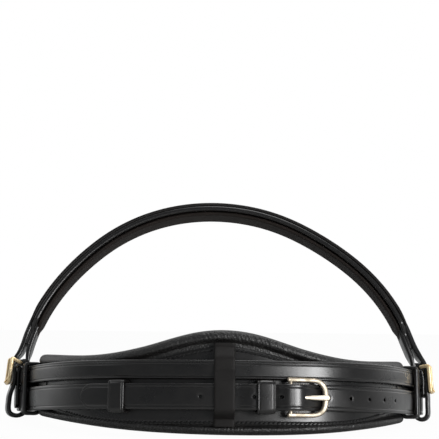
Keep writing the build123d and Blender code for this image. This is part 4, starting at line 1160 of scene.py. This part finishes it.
# %% Tongues
def tongue_pieces(name, node, place, wire, thick, wide, reach, body, tip, metal):
    """Eye and shank. place maps (along, out) in the tongue's plane, which is tipped so that its shank
    comes from the bar's middle to the top of the far wire. tip is its width there, as a share of wide."""
    slope = np.arcsin((wire / 2 + thick / 2 + 0.05) / reach)
    r = wire / 2 + 0.06 + 0.3 * thick
    v = np.linspace(0, 2 * np.pi, 36, endpoint=False)
    eye = place(r * np.cos(v), r * np.sin(v), 0.0)
    tube(name + "_eye", eye, wide=wide, deep=0.58 * thick, normal=eye - place(0, 0, 0), body=body,
         nodes=(node,), loop=True, power=2.6, metal=metal)
    x = np.linspace(r, reach + thick, 44)
    path = place(x * np.cos(slope), x * np.sin(slope), 0.0)
    q = (x - r) / (x[-1] - r)
    ends = quarter_circle((q - 0.93) / 0.07, 0.01)
    width = wide * (0.86 + (tip - 0.86) * q ** 1.5) * ends
    outward = place(0, 1, 0) - place(0, 0, 0)
    tube(name + "_shank", path, wide=width, deep=thick * (1.0 - 0.22 * q) * ends, normal=outward,
         body=body, power=2.4, metal=metal)


front_buckle()
# the front tongue's pale nickel is a painted highlight
tongue_pieces("front_tongue", "buckle_tongue", lambda x, o, z: buckle_place(x, z, o), wire=WIRE,
              thick=2.0, wide=2.6, reach=REACH, body="buckle_tongue", tip=1.22, metal=NICKEL_PAINTED_HIGHLIGHT)

# %% Side buckles
HINGE, SIDE_HALF = np.array([3.4, 17.0]), 7.4         # the hinge bar (out, up); half the lower bar


def side_buckle_pieces(side, sign):
    """Hinge bar, lower bar and the two arms that bow out past the billet, as one closed wire."""
    elbow, bar = ((9.4, 20.0), (11.0, 4.0)) if sign < 0 else ((8.8, 17.8), (9.9, 0.9))
    corners = np.array([(*HINGE, -5.6), (*elbow, -SIDE_HALF), (*bar, -SIDE_HALF),
                        (*bar, SIDE_HALF), (*elbow, SIDE_HALF), (*HINGE, 5.6)])
    line = bent(corners, np.array([1.2, 1.0, 1.3, 1.3, 1.0, 1.2]), 0.4, loop=True)
    path = end_point(line[:, 0], line[:, 1], line[:, 2], sign)
    middle = end_point(6.0, 9.0, 0.0, sign)
    # the side buckle's warm nickel is a painted warm reflection
    tube(f"side_buckle_wire_{side}", path, wide=2.3, deep=2.1,
         normal=END_ALONG * [sign, 1, 1] + 0.3 * (path - middle) / 20, body="band",
         nodes=(f"side_buckle_{side}",), loop=True, power=4.0, metal=NICKEL_PAINTED_WARM_REFLECTION)
    run = np.array(bar) - HINGE
    reach = float(np.linalg.norm(run))
    ahead = run / reach
    outward = np.array([-ahead[1], ahead[0]])

    def place(x, o, z):
        """Level points in the buckle's plane: x from the hinge bar to the lower bar, o out of it."""
        p = HINGE + np.asarray(x, float)[..., None] * ahead + np.asarray(o, float)[..., None] * outward
        return end_point(p[..., 0], p[..., 1], z, sign)

    # the side tongue's warm nickel is a painted warm reflection
    tongue_pieces(f"side_tongue_metal_{side}", f"side_tongue_{side}", place, wire=2.2, thick=1.4,
                  wide=2.2, reach=reach, body=f"side_tongue_{side}", tip=1.1, metal=NICKEL_PAINTED_WARM_REFLECTION)


for sign, side in SIDES:
    side_buckle_pieces(side, sign)

# %% [markdown]
# The small leather chape that holds each side buckle keeps its solid shape and takes the straps' leather.

# %% Chapes
for sign, side in SIDES:
    chape = frame["nodes"][f"side_chape_{side}"]
    chape.data.materials.clear()
    chape.data.materials.append(BRIDLE)

# %% [markdown]
# ## Lights
# Black leather is seen by its reflections, so wide soft lights are placed where each strap throws them
# to the camera. The key light stands low on the right, and its glint runs along the straps.

# %% Lights
def area_light(name, place, target, size, power):
    """White soft light at a place, pointed at a target; metres and watts."""
    data = bpy.data.lights.new(name, "AREA")
    data.shape, data.size, data.size_y = "RECTANGLE", size[0], size[1]
    data.energy = power
    light = bpy.data.objects.new(name, data)
    light.location = place
    light.rotation_euler = (Vector(target) - Vector(place)).to_track_quat("-Z", "Y").to_euler()
    bpy.context.scene.collection.objects.link(light)
    return light


key = area_light("key_light", (0.60, -0.79, 0.17), (0.03, 0, 0.03), size=(0.34, 0.34), power=7.8)
fill = area_light("fill_light", (-0.85, -0.35, 0.60), (0, 0, 0.03), size=(0.5, 0.5), power=1.0)
over = area_light("overhead_light", (0.15, 0.05, 0.85), (0, 0, 0.03), size=(0.6, 0.4), power=2.5)
print("lights:", [(lamp.name, lamp.data.energy) for lamp in (key, fill, over)])

# %% [markdown]
# ## The ground
# The part stands on a plain pale ground. Part of its white is its own glow, shown to the camera only, so
# that the ground stays white without lighting the leather from below.

# %% Ground
floor_mesh = bpy.data.meshes.new("ground")
floor_mesh.from_pydata([(-3, -3, 0), (3, -3, 0), (3, 3, 0), (-3, 3, 0)], [], [(0, 1, 2, 3)])
floor = bpy.data.objects.new("ground", floor_mesh)
bpy.context.scene.collection.objects.link(floor)
paper, tree, shader, place = new_material("pale_ground")
all_over(shader, Base_Color=linear("#ececea"), Roughness=0.9, Specular_IOR_Level=0.1)
sight = add(tree, "ShaderNodeLightPath")
glow = add(tree, "ShaderNodeEmission", Color=linear("#ffffff"), Strength=1.0)
share = add(tree, "ShaderNodeMath", {0: sight.outputs["Is Camera Ray"]}, operation="MULTIPLY")
share.inputs[1].default_value = 0.97
mixed = add(tree, "ShaderNodeMixShader",
            {0: share.outputs[0], 1: shader.outputs["BSDF"], 2: glow.outputs["Emission"]})
tree.links.new(mixed.outputs["Shader"], tree.nodes["Material Output"].inputs["Surface"])
floor_mesh.materials.append(paper)
print("ground:", len(floor_mesh.polygons), "face")

# %% [markdown]
# ## The background
# The camera sees plain white behind the part. The leather reflects a dim room in front, and white only
# where it mirrors what lies behind it, as the smooth edges of the straps do.

# %% White background
ROOM = 0.32                                           # how bright the room in front is
world = bpy.data.worlds.new("white_background")
world.use_nodes = True
bpy.context.scene.world = world
wires = world.node_tree
for node in list(wires.nodes):
    wires.nodes.remove(node)
rays = add(wires, "ShaderNodeLightPath").outputs
ways = add(wires, "ShaderNodeSeparateXYZ", {"Vector": add(wires, "ShaderNodeTexCoord").outputs["Generated"]})
behind = add(wires, "ShaderNodeMapRange", {"Value": ways.outputs["Y"]}, From_Min=-0.1, From_Max=0.35)
mirror = add(wires, "ShaderNodeMath", {0: rays["Is Glossy Ray"], 1: rays["Is Transmission Ray"]},
             operation="MAXIMUM")
turned_away = add(wires, "ShaderNodeMath", {0: mirror.outputs[0], 1: behind.outputs["Result"]},
                  operation="MULTIPLY")
shown = add(wires, "ShaderNodeMath", {0: rays["Is Camera Ray"], 1: turned_away.outputs[0]},
            operation="MAXIMUM")
ambient = add(wires, "ShaderNodeBackground", Color=linear("#e6ebf0"), Strength=ROOM)
backdrop = add(wires, "ShaderNodeBackground", Color=linear("#ffffff"), Strength=1.0)
pick = add(wires, "ShaderNodeMixShader",
           {0: shown.outputs[0], 1: ambient.outputs["Background"], 2: backdrop.outputs["Background"]})
add(wires, "ShaderNodeOutputWorld", {"Surface": pick.outputs["Shader"]})
print("background:", len(wires.nodes), "nodes")

# %% [markdown]
# ## The camera
# A long lens at half the part's height, turned by a yaw, a pitch and a slight roll. Its three axes are
# worked out one after the other and set as the columns of its matrix.

# %% Camera
YAW, PITCH, ROLL = radians(0.90), radians(4.23), radians(0.652)
CAMERA_AT = (-0.0147, -0.7604, 0.0733)                # metres
ahead = Vector((sin(YAW), cos(YAW), 0))
level = Vector((cos(YAW), -sin(YAW), 0))
view = ahead * cos(PITCH) + Vector((0, 0, 1)) * sin(PITCH)
up = -ahead * sin(PITCH) + Vector((0, 0, 1)) * cos(PITCH)
right = level * cos(ROLL) + up * sin(ROLL)
above = -level * sin(ROLL) + up * cos(ROLL)
data = bpy.data.cameras.new("camera")
data.lens, data.sensor_width = 98.68, 36.0
camera = bpy.data.objects.new("camera", data)
turn = Matrix((right, above, -view)).transposed().to_4x4()
camera.matrix_world = Matrix.Translation(CAMERA_AT) @ turn
bpy.context.scene.collection.objects.link(camera)
bpy.context.scene.camera = camera
bpy.context.scene.view_settings.view_transform = "Standard"
print("camera at", tuple(round(v, 4) for v in camera.location))

# %% [markdown]
# ## Faces in all
# The number of faces in all the new pieces, and how many pieces there are.

# %% Finish
print("faces in all:", sum(len(p.data.polygons) for p in PIECES), "in", len(PIECES), "pieces")
